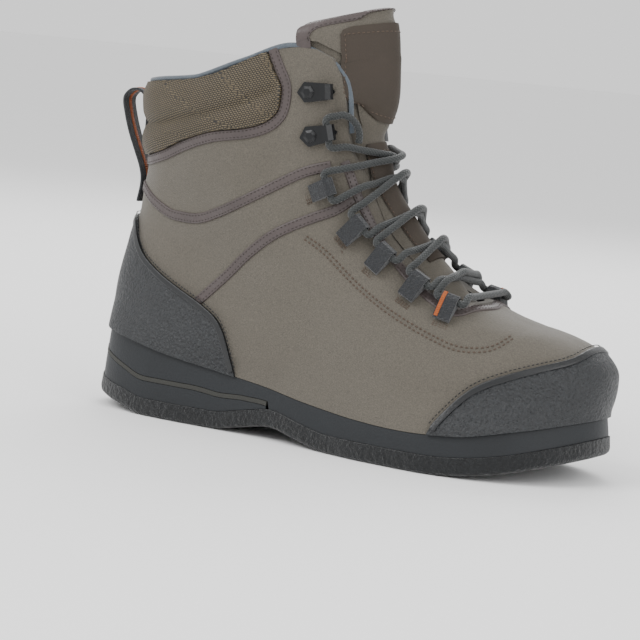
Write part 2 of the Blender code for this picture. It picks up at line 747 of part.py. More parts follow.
def make_trims(guides):
    """Bands sewn on the upper: round the pad, over the ankle, down the quarters, round the throat."""
    half = TRIM_WIDTH / 2
    pad_band = band(PAD_LINE, 12, -GAP, GAP + TRIM_WIDTH)
    overlay("pad_trim", pad_band, guides["trim"], guides, TRIM_LOOK, [guides["edge"]])

    throat_band = band(THROAT_LINE, 13, -THROAT_SEAM, THROAT_SEAM + THROAT_TRIM)
    overlay("throat_trim", throat_band, guides["trim"], guides, TRIM_LOOK)
    keep_off = prism("guide_throat_trim",
                     band(THROAT_LINE, 13, 0.01, THROAT_SEAM + THROAT_TRIM + GAP), -REACH, REACH)
    counter = [*line(COUNTER_LINE, 13, GAP), (-0.03, -0.02)]
    counter_off = prism("guide_counter", counter, -REACH, REACH)

    ankle_band = band(ANKLE_LINE, 11, half, half)
    overlay("ankle_trim", ankle_band, guides["trim"], guides, TRIM_LOOK, [keep_off])
    quarter_band = band(QUARTER_LINE, 7, half, half)
    for name, low_y, high_y in (("outer", -REACH, 0.0), ("inner", 0.0, REACH)):
        overlay("quarter_trim_" + name, quarter_band, guides["trim"], guides, TRIM_LOOK,
                [keep_off, counter_off], low_y, high_y)


def tongue_row(v):
    rows = np.arange(len(TONGUE))
    return [smooth(rows, column(TONGUE, i), v) for i in range(5)]


def fold(across):
    """How far the tongue's side has dropped behind its middle: 0 in the middle, 1 at the edge."""
    return (np.sqrt(across**2 + TONGUE_FOLD**2) - TONGUE_FOLD) / (
        math.sqrt(1 + TONGUE_FOLD**2) - TONGUE_FOLD)


def tongue_point(v, across, height):
    """Point at a height over the tongue's front: v counts its rows, across goes from -1 to 1."""
    along, rise, half, sweep, _ = tongue_row(v)
    before, after = (np.array(lift(*tongue_row(v + d)[:2])) for d in (-0.05, 0.05))
    run = (after - before) / np.linalg.norm(after - before)
    forward = np.array([run[1], -run[0]])
    x, z = lift(along, rise)
    half = half * TONGUE_HALF
    sweep = sweep * TONGUE_SWEEP
    slope = (fold(across + 0.01) - fold(across - 0.01)) / 0.02 * sweep
    normal = np.array([half, slope]) / math.hypot(half, slope)
    ahead = -sweep * fold(across) + height * normal[0]
    return np.array([
        x + forward[0] * ahead,
        across * half + height * normal[1],
        z + forward[1] * ahead,
    ])


def tongue_sheet(levels, spread, top, bottom):
    """Closed rings of a sheet on the tongue; spread, top and bottom are functions of the row."""
    widest = max(spread(v) for v in levels)
    inner = [u for u in TONGUE_STEPS if u < widest * 0.97]
    shares = np.linspace(0.4, 0.92, len(inner))
    rings = []
    for v in levels:
        side = spread(v)
        middle = (top(v) + bottom(v)) / 2
        steps = [min(u, side * share) for u, share in zip(inner, shares)]
        steps = [-u for u in steps[::-1]] + [0, *steps]
        upper = [tongue_point(v, u, top(v)) for u in steps]
        lower = [tongue_point(v, u, bottom(v)) for u in steps[::-1]]
        tips = [tongue_point(v, u, middle) for u in (-side, side)]
        rings.append(np.array([tips[0], *upper, tips[1], *lower]))
    return rings


def make_tongue(guides):
    """Padded tongue, kept clear of the upper's wall, and the two leather patches on it."""
    room = stack("guide_room", form_rings(0.008, 0.0, 0.012))
    boolean(room, "DIFFERENCE",
            stack("guide_room_inside", form_rings(-WALL - TONGUE_CLEAR, 0.009, 0.020)))
    share = np.linspace(0, 1, EDGE_POINTS)
    rim_gap = 2 * PIPING_RADIUS + PIPING_CLEAR + 5 * GAP
    end = length(COLLAR_LINE) / length(EDGE_LINE)
    offset = rim_gap + (2 * GAP - rim_gap) * ease(end + 0.01, end + 0.07, share)
    boolean(room, "DIFFERENCE", edge_cutter("guide_room_edge", offset))

    tongue = stack("tongue", tongue_sheet(
        TONGUE_LEVELS, lambda v: 1.0, lambda v: 0.0, lambda v: -tongue_row(v)[4] * TONGUE_THICK,
    ), FABRIC_LOOK)
    boolean(tongue, "DIFFERENCE", room)
    for name, start, end, low_reach, reach in PATCHES:
        levels = [level for level in TONGUE_LEVELS if start <= level <= end]
        patch = stack(name, tongue_sheet(
            levels, lambda v: low_reach + (reach - low_reach) * float(ease(start, start + 1.5, v)),
            lambda v: 2 * GAP + PATCH, lambda v: 2 * GAP,
        ), LEATHER_LOOK)
        boolean(patch, "DIFFERENCE", room)


def tube(name, path, radius, sides, look, count=None):
    """A round cord along a path of points, read from a smooth curve through them."""
    path = np.asarray(path, float)
    run = np.concatenate([[0], np.cumsum(np.linalg.norm(np.diff(path, axis=0), axis=1))])
    if count:
        path = round_curve(path, run, count)
    tangent = np.gradient(path, axis=0)
    tangent /= np.linalg.norm(tangent, axis=1, keepdims=True)
    side = np.cross(tangent[0], [0.3, 0.5, 0.8])
    points, faces = [], []
    for centre, ahead in zip(path, tangent):
        side = side - ahead * side.dot(ahead)
        side /= np.linalg.norm(side)
        other = np.cross(ahead, side)
        for i in range(sides):
            angle = 2 * math.pi * i / sides
            points.append(centre + radius * (math.cos(angle) * side + math.sin(angle) * other))
    last = (len(path) - 1) * sides
    for level in range(len(path) - 1):
        for i in range(sides):
            k = (i + 1) % sides
            low, high = level * sides, (level + 1) * sides
            faces.append((low + i, low + k, high + k, high + i))
    faces.append(tuple(range(sides)))
    faces.append(tuple(last + i for i in range(sides)))
    return add_object(name, mesh_from(name, points, faces), look)


def round_curve(path, run, count):
    """Points evenly spaced on a curve that bends softly through the given ones."""
    at = np.linspace(0, run[-1], count)
    tangent = np.zeros_like(path)
    tangent[1:-1] = (path[2:] - path[:-2]) / (run[2:] - run[:-2])[:, None]
    tangent[0] = (path[1] - path[0]) / (run[1] - run[0])
    tangent[-1] = (path[-1] - path[-2]) / (run[-1] - run[-2])
    i = np.clip(np.searchsorted(run, at, side="right") - 1, 0, len(run) - 2)
    step = (run[i + 1] - run[i])[:, None]
    t = ((at - run[i])[:, None]) / step
    return (
        (2 * t**3 - 3 * t**2 + 1) * path[i] + (t**3 - 2 * t**2 + t) * step * tangent[i]
        + (3 * t**2 - 2 * t**3) * path[i + 1] + (t**3 - t**2) * step * tangent[i + 1]
    )


def make_piping():
    """Rolled edge along the collar and down both front edges, on the middle of the wall."""
    above = PIPING_RADIUS + PIPING_CLEAR
    end = length(COLLAR_LINE) / length(EDGE_LINE)
    share = np.linspace(0, 1, EDGE_POINTS)
    edge = line(EDGE_LINE, EDGE_POINTS, above)
    front = edge[(share <= end) & (edge[:, 0] > PIPING_TURN * SOLE_LENGTH)]
    tree = search_tree([stack("guide_middle", form_rings(-WALL / 2, 0.005, 0.006))])
    halves = []
    for side in (-1, 1):
        inward = Vector((0, -side, 0))
        path = [tree.ray_cast(Vector((x, side * REACH, z)), inward)[0] for x, z in front[::-1]]
        shares = 0.5 * (1 - np.cos(turn_angles()[ROUND // 2:0:-1]))
        back = [at_collar(share, side, -WALL / 2, above) for share in shares]
        back = [tree.find_nearest(Vector(p))[0] for p in back]
        path += [p for p in back if p[0] < (PIPING_TURN - 0.02) * SOLE_LENGTH]
        halves.append(path)
    back = at_collar(0.0, -1, 0.0, above) + np.array([WALL / 2, 0, 0])
    path = halves[0] + [back] + halves[1][::-1]
    tube("collar_piping", path, PIPING_RADIUS, 5, PIPING_LOOK)


def frame_at(origin, ahead, outward):
    """Matrix of a small piece: its X runs ahead, its Z outwards."""
    ahead = np.asarray(ahead, float)
    outward = np.asarray(outward, float)
    ahead = ahead - outward * ahead.dot(outward)
    ahead /= np.linalg.norm(ahead)
    across = np.cross(outward, ahead)
    matrix = Matrix.Identity(4)
    for row in range(3):
        matrix[row][0], matrix[row][1], matrix[row][2] = ahead[row], across[row], outward[row]
        matrix[row][3] = origin[row]
    return matrix


def put(thing, matrix):
    thing.matrix_world = Matrix.Translation((-HEEL_REST, 0, 0)) @ matrix


def loop_mesh(length):
    """Folded webbing with a tunnel at its tip; its base lies length behind the tunnel."""
    hole = LACE_RADIUS + LACE_PLAY
    outer = hole + WEBBING
    flat = -outer
    rim = [(-length, flat), (-length, flat + 2 * WEBBING), (-0.55 * length, 0.30 * outer)]
    for angle in (115, 65, 15, -35, -90):
        rim.append((outer * math.cos(math.radians(angle)), outer * math.sin(math.radians(angle))))
    rim.append((-0.42 * length, flat))
    tunnel = [(hole * x / math.hypot(x, z), hole * z / math.hypot(x, z)) for x, z in rim]
    count = len(rim)
    points = []
    for y in (-LOOP_WIDTH / 2, LOOP_WIDTH / 2):
        points += [(x, y, z) for x, z in rim] + [(x, y, z) for x, z in tunnel]
    faces = []
    for i in range(count):
        k = (i + 1) % count
        far = 2 * count
        faces.append((i, k, count + k, count + i))
        faces.append((far + i, far + count + i, far + count + k, far + k))
        faces.append((i, far + i, far + k, k))
        faces.append((count + i, count + k, far + count + k, far + count + i))
    return mesh_from("lace_loop", points, faces)


def search_tree(things):
    """Search tree of finished pieces, in the tables' frame."""
    points, faces = [], []
    bpy.context.view_layer.update()
    depsgraph = bpy.context.evaluated_depsgraph_get()
    for thing in things:
        mesh = thing.evaluated_get(depsgraph).to_mesh()
        start = len(points)
        points += [v.co.copy() for v in mesh.vertices]
        faces += [tuple(start + i for i in face.vertices) for face in mesh.polygons]
    return BVHTree.FromPolygons(points, faces)


def ground(names):
    """Search tree of what is laid on: the shown pieces whose names start so."""
    shown = [thing for thing in bpy.data.objects if not thing.hide_render]
    return search_tree([thing for thing in shown if thing.name.startswith(names)])


def rest_height(tree, matrix, low_x, high_x, half_width):
    """How far the ground stands above a frame's plane, within a rectangle round its origin."""
    highest = -1.0
    down = -Vector(matrix.col[2][:3])
    for x in np.linspace(low_x, high_x, 7):
        for y in np.linspace(-half_width, half_width, 5):
            start = matrix @ Vector((x, y, 0.02))
            hit, _, _, distance = tree.ray_cast(start, down, 0.04)
            if hit:
                highest = max(highest, 0.02 - distance)
    return highest


def raised(matrix, height):
    moved = matrix.copy()
    moved.translation += Vector(matrix.col[2][:3]) * height
    return moved


def clearance(tree, point, outward):
    """Signed distance from a point to the ground and the way out of it."""
    spot, normal, _, distance = tree.find_nearest(Vector(point))
    away = np.array(Vector(point) - spot)
    if distance < 1e-6:
        return 0.0, np.array(normal)
    buried = away.dot(normal) < 0 or away.dot(outward) < -0.5 * distance
    return (-distance, -away / distance) if buried else (distance, away / distance)


def push_out(tree, path, need, outward):
    """Move a path's points off the ground until they clear it; its first point stays."""
    path = np.array(path)
    for _ in range(2 * LACE_ROUNDS):
        for i in range(1, len(path)):
            clear, out = clearance(tree, path[i], outward)
            if clear < need:
                path[i] += out * (need - clear)
        for i in range(1, len(path) - 1):
            for share in (0.25, 0.5, 0.75):
                spot = path[i] + (path[i + 1] - path[i]) * share
                clear, out = clearance(tree, spot, outward)
                if clear < need - GAP:
                    path[i] += out * (need - GAP - clear) * (1.2 - share)
                    path[i + 1] += out * (need - GAP - clear) * (0.2 + share)
    return path


def loop_frames(tree):
    """Where each lace loop's tunnel lies, from the toe up, on both sides."""
    height = LACE_RADIUS + LACE_PLAY + WEBBING + GAP
    frames = {-1: [], 1: []}
    for side in (-1, 1):
        for base_along, base_rise, tip_along, tip_rise in LOOPS:
            base, _ = on_side(base_along, base_rise, side)
            tip, _ = on_side(tip_along, tip_rise, side)
            _, outward = on_side((base_along + tip_along) / 2, (base_rise + tip_rise) / 2, side)
            reach = float(np.linalg.norm(tip - base))
            flat = frame_at(tip, tip - base, outward)
            under = rest_height(tree, flat, -reach, LACE_RADIUS, LOOP_WIDTH / 2)
            frames[side].append((raised(flat, under + GAP + height), reach))
    return frames


def hook_frames(tree):
    frames = {-1: [], 1: []}
    for side in (-1, 1):
        for rear_along, rear_rise, front_along, front_rise in HOOKS:
            rear, _ = on_side(rear_along, rear_rise, side)
            front, _ = on_side(front_along, front_rise, side)
            middle, outward = on_side((rear_along + front_along) / 2, (rear_rise + front_rise) / 2, side)
            flat = frame_at(middle, front - rear, outward)
            long = HOOK_LENGTH / 2
            under = rest_height(tree, flat, -long, long, HOOK_WIDTH * HOOK_SWELL)
            frames[side].append(raised(flat, under + GAP))
    return frames


def hook_mesh():
    """Six-sided plate with a domed rivet behind and a hook, open to the rear, in front."""
    long, wide = HOOK_LENGTH / 2, HOOK_WIDTH * HOOK_SWELL
    plate_rim = [(-long, 0), (-0.62 * long, -wide), (0.6 * long, -0.8 * wide), (long, 0),
                 (0.6 * long, 0.8 * wide), (-0.62 * long, wide)]
    points = [(x, y, 0) for x, y in plate_rim] + [(x, y, HOOK_PLATE) for x, y in plate_rim]
    count = len(plate_rim)
    faces = [tuple(range(count)), tuple(range(2 * count - 1, count - 1, -1))]
    faces += [(i, (i + 1) % count, count + (i + 1) % count, count + i) for i in range(count)]
    body = add_object("guide_hook_plate", mesh_from("hook_plate", points, faces))

    dome_rings = [(1.0, HOOK_PLATE / 2), (1.0, HOOK_PLATE + 0.0008), (0.55, HOOK_PLATE + 0.0018)]
    points, faces, sides = [], [], 6
    for share, z in dome_rings:
        for i in range(sides):
            angle = 2 * math.pi * i / sides
            points.append((RIVET_AT * long + RIVET * share * math.cos(angle),
                           RIVET * share * math.sin(angle), z))
    for level in range(len(dome_rings) - 1):
        for i in range(sides):
            k = (i + 1) % sides
            low, high = level * sides, (level + 1) * sides
            faces.append((low + i, low + k, high + k, high + i))
    faces += [tuple(range(sides)), tuple(range(2 * sides, 3 * sides))]
    dome = add_object("guide_rivet", mesh_from("rivet", points, faces))

    sheet = HOOK_PLATE
    room = 2 * (LACE_RADIUS + LACE_PLAY)
    bend = room / 2 + sheet
    centre = (0.92 * long - bend, sheet + room / 2)
    outer, inner = [], []
    for angle in (-90, -42, 0, 42, 90):
        unit = (math.cos(math.radians(angle)), math.sin(math.radians(angle)))
        outer.append((centre[0] + bend * unit[0], centre[1] + bend * unit[1]))
        inner.append((centre[0] + room / 2 * unit[0], centre[1] + room / 2 * unit[1]))
    tip_x = centre[0] - HOOK_TIP
    outer.append((tip_x, centre[1] + bend))
    inner.append((tip_x, centre[1] + room / 2))
    curl_rim = [(x, z) for x, z in outer] + [(x, z) for x, z in inner[::-1]]
    curl = prism("guide_hook_curl", curl_rim, -HOOK_WIDTH / 2, HOOK_WIDTH / 2)
    for thing in (body, dome, curl):
        thing.location.x = 0
    boolean(body, "UNION", dome, curl)
    bpy.context.view_layer.update()
    made = bpy.data.meshes.new_from_object(body.evaluated_get(bpy.context.evaluated_depsgraph_get()))
    for thing in (body, dome, curl):
        bpy.data.objects.remove(thing, do_unlink=True)
    made.name = "speed_hook"
    return made, centre


SIDE_NAMES = {-1: "outer", 1: "inner"}


def make_loops(frames):
    for side, name in SIDE_NAMES.items():
        for number, (matrix, length) in enumerate(frames[side], 1):
            put(add_object(f"lace_loop_{name}_{number}", loop_mesh(length), WEBBING_LOOK), matrix)


def make_hooks(frames, mesh):
    for side, name in SIDE_NAMES.items():
        for number, matrix in enumerate(frames[side], 1):
            put(add_object(f"speed_hook_{name}_{number}", mesh, METAL_LOOK), matrix)


def lace_stops(loops, hooks, hook_centre):
    """Middle of each tunnel with its ways up the throat and towards it, from the toe up."""
    stops = {}
    for side in (-1, 1):
        found = [(matrix, matrix.translation) for matrix, _ in loops[side]]
        matrix = hooks[side][0]
        found.append((matrix, matrix @ Vector((hook_centre[0], 0, hook_centre[1]))))
        stops[side] = []
        for matrix, centre in found:
            up = np.array(matrix.col[1][:3])
            stops[side].append((np.array(centre), math.copysign(1, up[2]) * up,
                                np.array(matrix.col[0][:3]), np.array(matrix.col[2][:3])))
    return stops


def taut(first, last, outward, heights):
    """Points of a cord stretched from first to last over obstacles of the given heights."""
    count = len(heights)
    at = np.linspace(0, 1, count)
    hull = [
        max(
            heights[a] + (heights[b] - heights[a]) * ((i - a) / (b - a) if b > a else 0)
            for a in range(i + 1) for b in range(i, count)
        )
        for i in range(count)
    ]
    return [first + (last - first) * t + outward * h for t, h in zip(at, hull)]


def lift_needed(tree, point, outward, along, need):
    """How far a ball of radius need must move outwards from a point to clear the ground."""
    ahead = along / np.linalg.norm(along)
    ahead = ahead - outward * ahead.dot(outward)
    side = np.cross(outward, ahead)
    lift_by = -1.0
    for a in (-0.9, -0.5, 0, 0.5, 0.9):
        for b in (-0.9, -0.5, 0, 0.5, 0.9):
            if a * a + b * b > 1:
                continue
            start = Vector(point + (ahead * a + side * b) * need + outward * 0.03)
            hit, _, _, distance = tree.ray_cast(start, -Vector(outward), 0.04)
            if hit:
                lift_by = max(lift_by, 0.03 - distance + need * math.sqrt(1 - a * a - b * b))
    return lift_by


def over_cord(point, under, outward):
    """How far a point must move outwards to rest on another cord's middle line."""
    at = np.linspace(0, len(under) - 1, 8 * len(under))
    middle = np.stack([np.interp(at, range(len(under)), under[:, i]) for i in range(3)], 1)
    away = point - middle
    height = away @ outward
    aside = np.sum(away**2, axis=1) - height**2
    near = aside < LACE_OVER**2
    return max(0.0, *(np.sqrt(LACE_OVER**2 - aside[near]) - height[near])) if near.any() else 0.0


def strand(tree, start, end, outward, under=None):
    """Path of a lace from one tunnel to another, stretched over the ground and another lace."""
    (centre, up, ahead, normal), (far_centre, far_up, far_ahead, far_normal) = start, end
    half = LOOP_WIDTH / 2 + LACE_EXIT
    exits = [centre + up * half, far_centre - far_up * half]
    first, last = exits[0] + ahead * LACE_TURN, exits[1] + far_ahead * LACE_TURN
    need = LACE_RADIUS + LACE_CLEAR

    def lift_at(spot, along, way):
        by_ground = lift_needed(tree, spot, way, along, need)
        by_lace = over_cord(spot, under, outward) if under is not None else 0.0
        return way * max(0.0, by_ground, by_lace)

    steps = np.linspace(0, 1, LACE_STEPS)[1:-1]
    heights = [lift_at(first + (last - first) * t, last - first, outward) @ outward for t in steps]
    path = taut(first, last, outward, [0.0, *heights, 0.0])
    path = np.array([exits[0], *path, exits[1]])
    run = np.concatenate([[0], np.cumsum(np.linalg.norm(np.diff(path, axis=0), axis=1))])
    path = round_curve(path, run, LACE_POINTS - 2)
    end = len(path) - 1
    share = np.linspace(0, 1, end + 1)[:, None]
    near, far = 1 - ease(0, LACE_SIDE, share), ease(1 - LACE_SIDE, 1, share)
    ways = normal * near + far_normal * far + outward * (1 - near - far)
    ways /= np.linalg.norm(ways, axis=1, keepdims=True)
    for _ in range(LACE_ROUNDS):
        for i in range(1, end):
            path[i] += lift_at(path[i], path[i + 1] - path[i - 1], ways[i])
        for i in range(end):
            for share in (0.33, 0.67):
                along = path[i + 1] - path[i]
                way = ways[i] * (1 - share) + ways[i + 1] * share
                lift_by = lift_at(path[i] + along * share, along, way / np.linalg.norm(way))
                if i > 0:
                    path[i] += lift_by * (1 - share)
                if i < end - 1:
                    path[i + 1] += lift_by * share
    tips = [centre + up * LACE_APART, far_centre - far_up * LACE_APART]
    return np.array([tips[0], *path, tips[1]])


def placed(table, side):
    """Points from shares of the length, the ball's width and the rise, on one side."""
    along, across, rise = (column(table, i) for i in range(3))
    x, z = lift(along, rise)
    return list(np.stack([x, side * across * BALL_WIDTH, z], 1))


def cord(name, path, radius, look):
    """A bendable cord along a path, as a curve with a round bevel."""
    curve = bpy.data.curves.new(name, "CURVE")
    curve.dimensions = "3D"
    curve.bevel_depth = radius
    curve.bevel_resolution = 1
    curve.use_fill_caps = True
    spline = curve.splines.new("POLY")
    spline.points.add(len(path) - 1)
    for point, place in zip(spline.points, path):
        point.co = (*map(float, place), 1)
    add_object(name, curve, look)


def make_laces(stops, tree):
    """Bar over the throat's base, five crossings up the tongue and the free end."""
    rows = [(stops[-1][k][0] + stops[1][k][0]) / 2 for k in range(len(stops[1]))]

    def outward(k):
        run = rows[k + 1] - rows[k]
        return np.array([run[2], 0, -run[0]]) / math.hypot(run[0], run[2])

    outer, up, ahead, normal = stops[-1][0]
    bar = strand(tree, (outer, -up, ahead, normal), stops[1][0], outward(0))
    tube("lace_bar", bar, LACE_RADIUS, LACE_SIDES, LACE_LOOK)

    hook, hook_up, _, _ = stops[-1][-1]
    half = LOOP_WIDTH / 2 + LACE_EXIT
    free = np.array([hook + hook_up * LACE_APART, hook + hook_up * half, *placed(LACE_END, -1)])
    run = np.concatenate([[0], np.cumsum(np.linalg.norm(np.diff(free, axis=0), axis=1))])
    free = round_curve(free, run, LACE_POINTS)
    free = push_out(tree, free, LACE_RADIUS + LACE_CLEAR, np.array([0.6, -0.8, 0]))
    cord("lace_end_outer", free, LACE_RADIUS, LACE_LOOK)

    for k in range(len(LOOPS)):
        lower = strand(tree, stops[1][k], stops[-1][k + 1], outward(k))
        upper = strand(tree, stops[-1][k], stops[1][k + 1], outward(k), lower)
        crossing = tube(f"lace_crossing_{k + 1}", upper, LACE_RADIUS, LACE_SIDES, LACE_LOOK)
        boolean(crossing, "UNION", tube("guide_lace", lower, LACE_RADIUS, LACE_SIDES, None))


def back_at(rise):
    rows = np.arange(len(LAST))
    level = np.interp(rise, column(LAST, 1), rows)
    return float(smooth(rows, column(LAST, 0), level)) * SOLE_LENGTH


def make_pull_loop():
    """Webbing loop that stands off the back of the collar and runs down to the counter."""
    path = []
    for out, rise in PULL_LINE:
        x = back_at(rise)
        path.append((x - out, float(lift(x / SOLE_LENGTH, rise)[1])))
    path = np.array(path)
    run = np.concatenate([[0], np.cumsum(np.hypot(*np.diff(path, axis=0).T))])
    flat = round_curve(path, run, PULL_POINTS)
    tangent = np.gradient(flat, axis=0)
    tangent /= np.linalg.norm(tangent, axis=1, keepdims=True)
    left = flat + PULL_THICK / 2 * np.stack([-tangent[:, 1], tangent[:, 0]], 1)
    right = flat - PULL_THICK / 2 * np.stack([-tangent[:, 1], tangent[:, 0]], 1)
    prism("pull_loop", [*left, *right[::-1]], -PULL_WIDTH / 2, PULL_WIDTH / 2, WEBBING_LOOK)


def build():
    for thing in list(bpy.data.objects):
        bpy.data.objects.remove(thing, do_unlink=True)
    guides = make_guides()
    make_sole()
    make_insole()
    make_upper(guides)
    make_rubber(guides)
    make_pad(guides)
    make_trims(guides)
    make_tongue(guides)
    make_piping()
    make_pull_loop()
    tree = ground(("upper", "throat_trim", "quarter_trim", "ankle_trim", "pad_trim"))
    loops = loop_frames(tree)
    hooks = hook_frames(tree)
    make_loops(loops)
    mesh, hook_centre = hook_mesh()
    make_hooks(hooks, mesh)
    tree = ground(("upper", "throat_trim", "quarter_trim", "ankle_trim", "tongue", "collar_piping"))
    make_laces(lace_stops(loops, hooks, hook_centre), tree)


build()
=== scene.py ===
"""Looks of the wading boot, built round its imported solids.

Metres, +Z up. The tables below repeat the sizes of the part's source, and measure x from the
sole's back end; the shown pieces are moved back by HEEL_REST.
"""
import json
import math

import bmesh
import bpy
import numpy as np
from mathutils import Matrix, Vector
from mathutils.bvhtree import BVHTree

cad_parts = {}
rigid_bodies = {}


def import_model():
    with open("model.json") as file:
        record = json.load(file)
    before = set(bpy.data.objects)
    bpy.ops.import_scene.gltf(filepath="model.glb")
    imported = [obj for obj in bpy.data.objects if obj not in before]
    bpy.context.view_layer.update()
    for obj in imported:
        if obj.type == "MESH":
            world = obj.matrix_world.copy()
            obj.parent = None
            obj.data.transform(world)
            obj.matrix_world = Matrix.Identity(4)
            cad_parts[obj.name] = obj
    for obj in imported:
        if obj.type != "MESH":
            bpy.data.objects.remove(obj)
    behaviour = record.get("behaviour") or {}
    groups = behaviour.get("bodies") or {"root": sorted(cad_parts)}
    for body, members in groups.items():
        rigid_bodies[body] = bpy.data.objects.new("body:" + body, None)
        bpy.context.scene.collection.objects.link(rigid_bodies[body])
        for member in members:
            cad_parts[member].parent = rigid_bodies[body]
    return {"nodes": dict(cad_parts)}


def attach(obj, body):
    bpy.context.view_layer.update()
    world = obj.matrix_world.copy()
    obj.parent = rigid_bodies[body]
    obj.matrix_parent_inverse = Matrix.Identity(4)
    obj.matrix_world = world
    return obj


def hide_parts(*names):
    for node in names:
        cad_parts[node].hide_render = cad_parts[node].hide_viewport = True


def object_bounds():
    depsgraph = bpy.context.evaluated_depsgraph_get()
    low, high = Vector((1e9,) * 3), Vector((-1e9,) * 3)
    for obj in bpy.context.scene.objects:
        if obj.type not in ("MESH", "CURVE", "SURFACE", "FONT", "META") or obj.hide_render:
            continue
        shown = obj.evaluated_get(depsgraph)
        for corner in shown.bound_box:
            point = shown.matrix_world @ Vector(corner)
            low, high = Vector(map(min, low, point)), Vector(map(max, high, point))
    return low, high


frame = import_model()
CAD_BOX = [list(corner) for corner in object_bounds()]

# Overall sizes
SOLE_LENGTH = 0.310
BALL_WIDTH = 0.1145
HEEL_WIDTH = 0.081
COLLAR_HEIGHT = 0.216
TONGUE_STANDS = 0.026
HEEL_REST = 0.070

# Sole
FELT = 0.0098
HEEL_TOP = 0.046
FORE_TOP = 0.0200
HEEL_BEVEL = 0.0080
ARCH_RISE = 0.0070
TOE_SPRING = 0.0155
FLARE = 0.0030
FELT_ROUND = 0.0015
FELT_LIP = 0.0005
STRIPE = 0.0024
INSOLE = 0.0040

# Upper
WALL = 0.0024
GAP = 0.0003
RUBBER = 0.0014
TRIM = 0.0008
TRIM_WIDTH = 0.0058
PAD = 0.0030
PAD_EDGE = 0.0012
PIPING_RADIUS = 0.0015

# Tongue
TONGUE_HALF = 0.038
TONGUE_SWEEP = 0.043
TONGUE_THICK = 0.0045
PATCH = 0.0009

# Lacing
LACE_RADIUS = 0.0020
LACE_PLAY = 0.0006
LOOP_WIDTH = 0.0095
WEBBING = 0.0010
HOOK_PLATE = 0.0012
HOOK_WIDTH = 0.0085
PULL_WIDTH = 0.0120
PULL_THICK = 0.0014
HOOK_LENGTH = 0.0215
HOOK_SWELL = 0.66
LACE_EXIT = 0.0030
LACE_TURN = 0.0050
LACE_APART = 0.0002
LACE_CLEAR = 0.0005
LACE_OVER = 0.0036
PUFF_REACH = 0.0080
THROAT_SEAM = 0.0024
THROAT_TRIM = 0.0045
PIPING_TURN = 0.24
PIPING_CLEAR = 0.0006

# Fineness of the shown forms
ROUND = 180
FORM_LEVELS = 84
LACE_POINTS = 12
LACE_STEPS = 15
LACE_SIDE = 0.35
LACE_ROUNDS = 4

# Sole outline: share of the length, then of the local width, out to each side
PLAN = (
    # along, outer, inner
    (0.000, 0.000, 0.000),
    (0.015, 0.210, 0.210),
    (0.050, 0.370, 0.358),
    (0.100, 0.463, 0.444),
    (0.160, 0.506, 0.488),
    (0.240, 0.519, 0.475),
    (0.340, 0.491, 0.405),
    (0.440, 0.450, 0.355),
    (0.540, 0.447, 0.380),
    (0.640, 0.480, 0.445),
    (0.730, 0.489, 0.498),
    (0.800, 0.463, 0.511),
    (0.880, 0.384, 0.472),
    (0.940, 0.271, 0.397),
    (0.980, 0.122, 0.288),
    (1.000, -0.079, 0.079),
)

# Height of the sole's underside, in shares of heel bevel, arch rise and toe spring
UNDERSIDE = (
    # along, bevel, arch, toe
    (0.000, 1.00, 0.00, 0.00),
    (0.040, 0.80, 0.00, 0.00),
    (0.100, 0.42, 0.00, 0.00),
    (0.155, 0.00, 0.00, 0.00),
    (0.300, 0.00, 0.00, 0.00),
    (0.370, 0.00, 0.55, 0.00),
    (0.430, 0.00, 1.00, 0.00),
    (0.500, 0.00, 0.42, 0.00),
    (0.560, 0.00, 0.00, 0.00),
    (0.760, 0.00, 0.00, 0.00),
    (0.820, 0.00, 0.00, 0.09),
    (0.880, 0.00, 0.00, 0.30),
    (0.950, 0.00, 0.00, 0.69),
    (1.000, 0.00, 0.00, 1.00),
)

# Top of the midsole, where the upper starts, in shares of its heel, forefoot and toe heights
FEATHER = (
    # along, heel, toe
    (0.00, 1.000, 0.00),
    (0.10, 0.846, 0.00),
    (0.20, 0.640, 0.00),
    (0.30, 0.488, 0.00),
    (0.40, 0.346, 0.00),
    (0.50, 0.170, 0.00),
    (0.60, 0.050, 0.00),
    (0.70, 0.000, 0.00),
    (0.80, 0.000, 0.10),
    (0.90, 0.000, 0.50),
    (1.00, 0.000, 1.00),
)

# Top of the olive stripe that tapers into the arch: height above the felt, in shares of its rise
STRIPE_RISE = 0.0190
STRIPE_END = 0.42
STRIPE_STEP = 0.003
STRIPE_LINE = (
    # along, rise
    (0.00, 0.95),
    (0.08, 0.76),
    (0.14, 0.66),
    (0.25, 0.66),
    (0.35, 0.48),
    (0.43, 0.20),
)

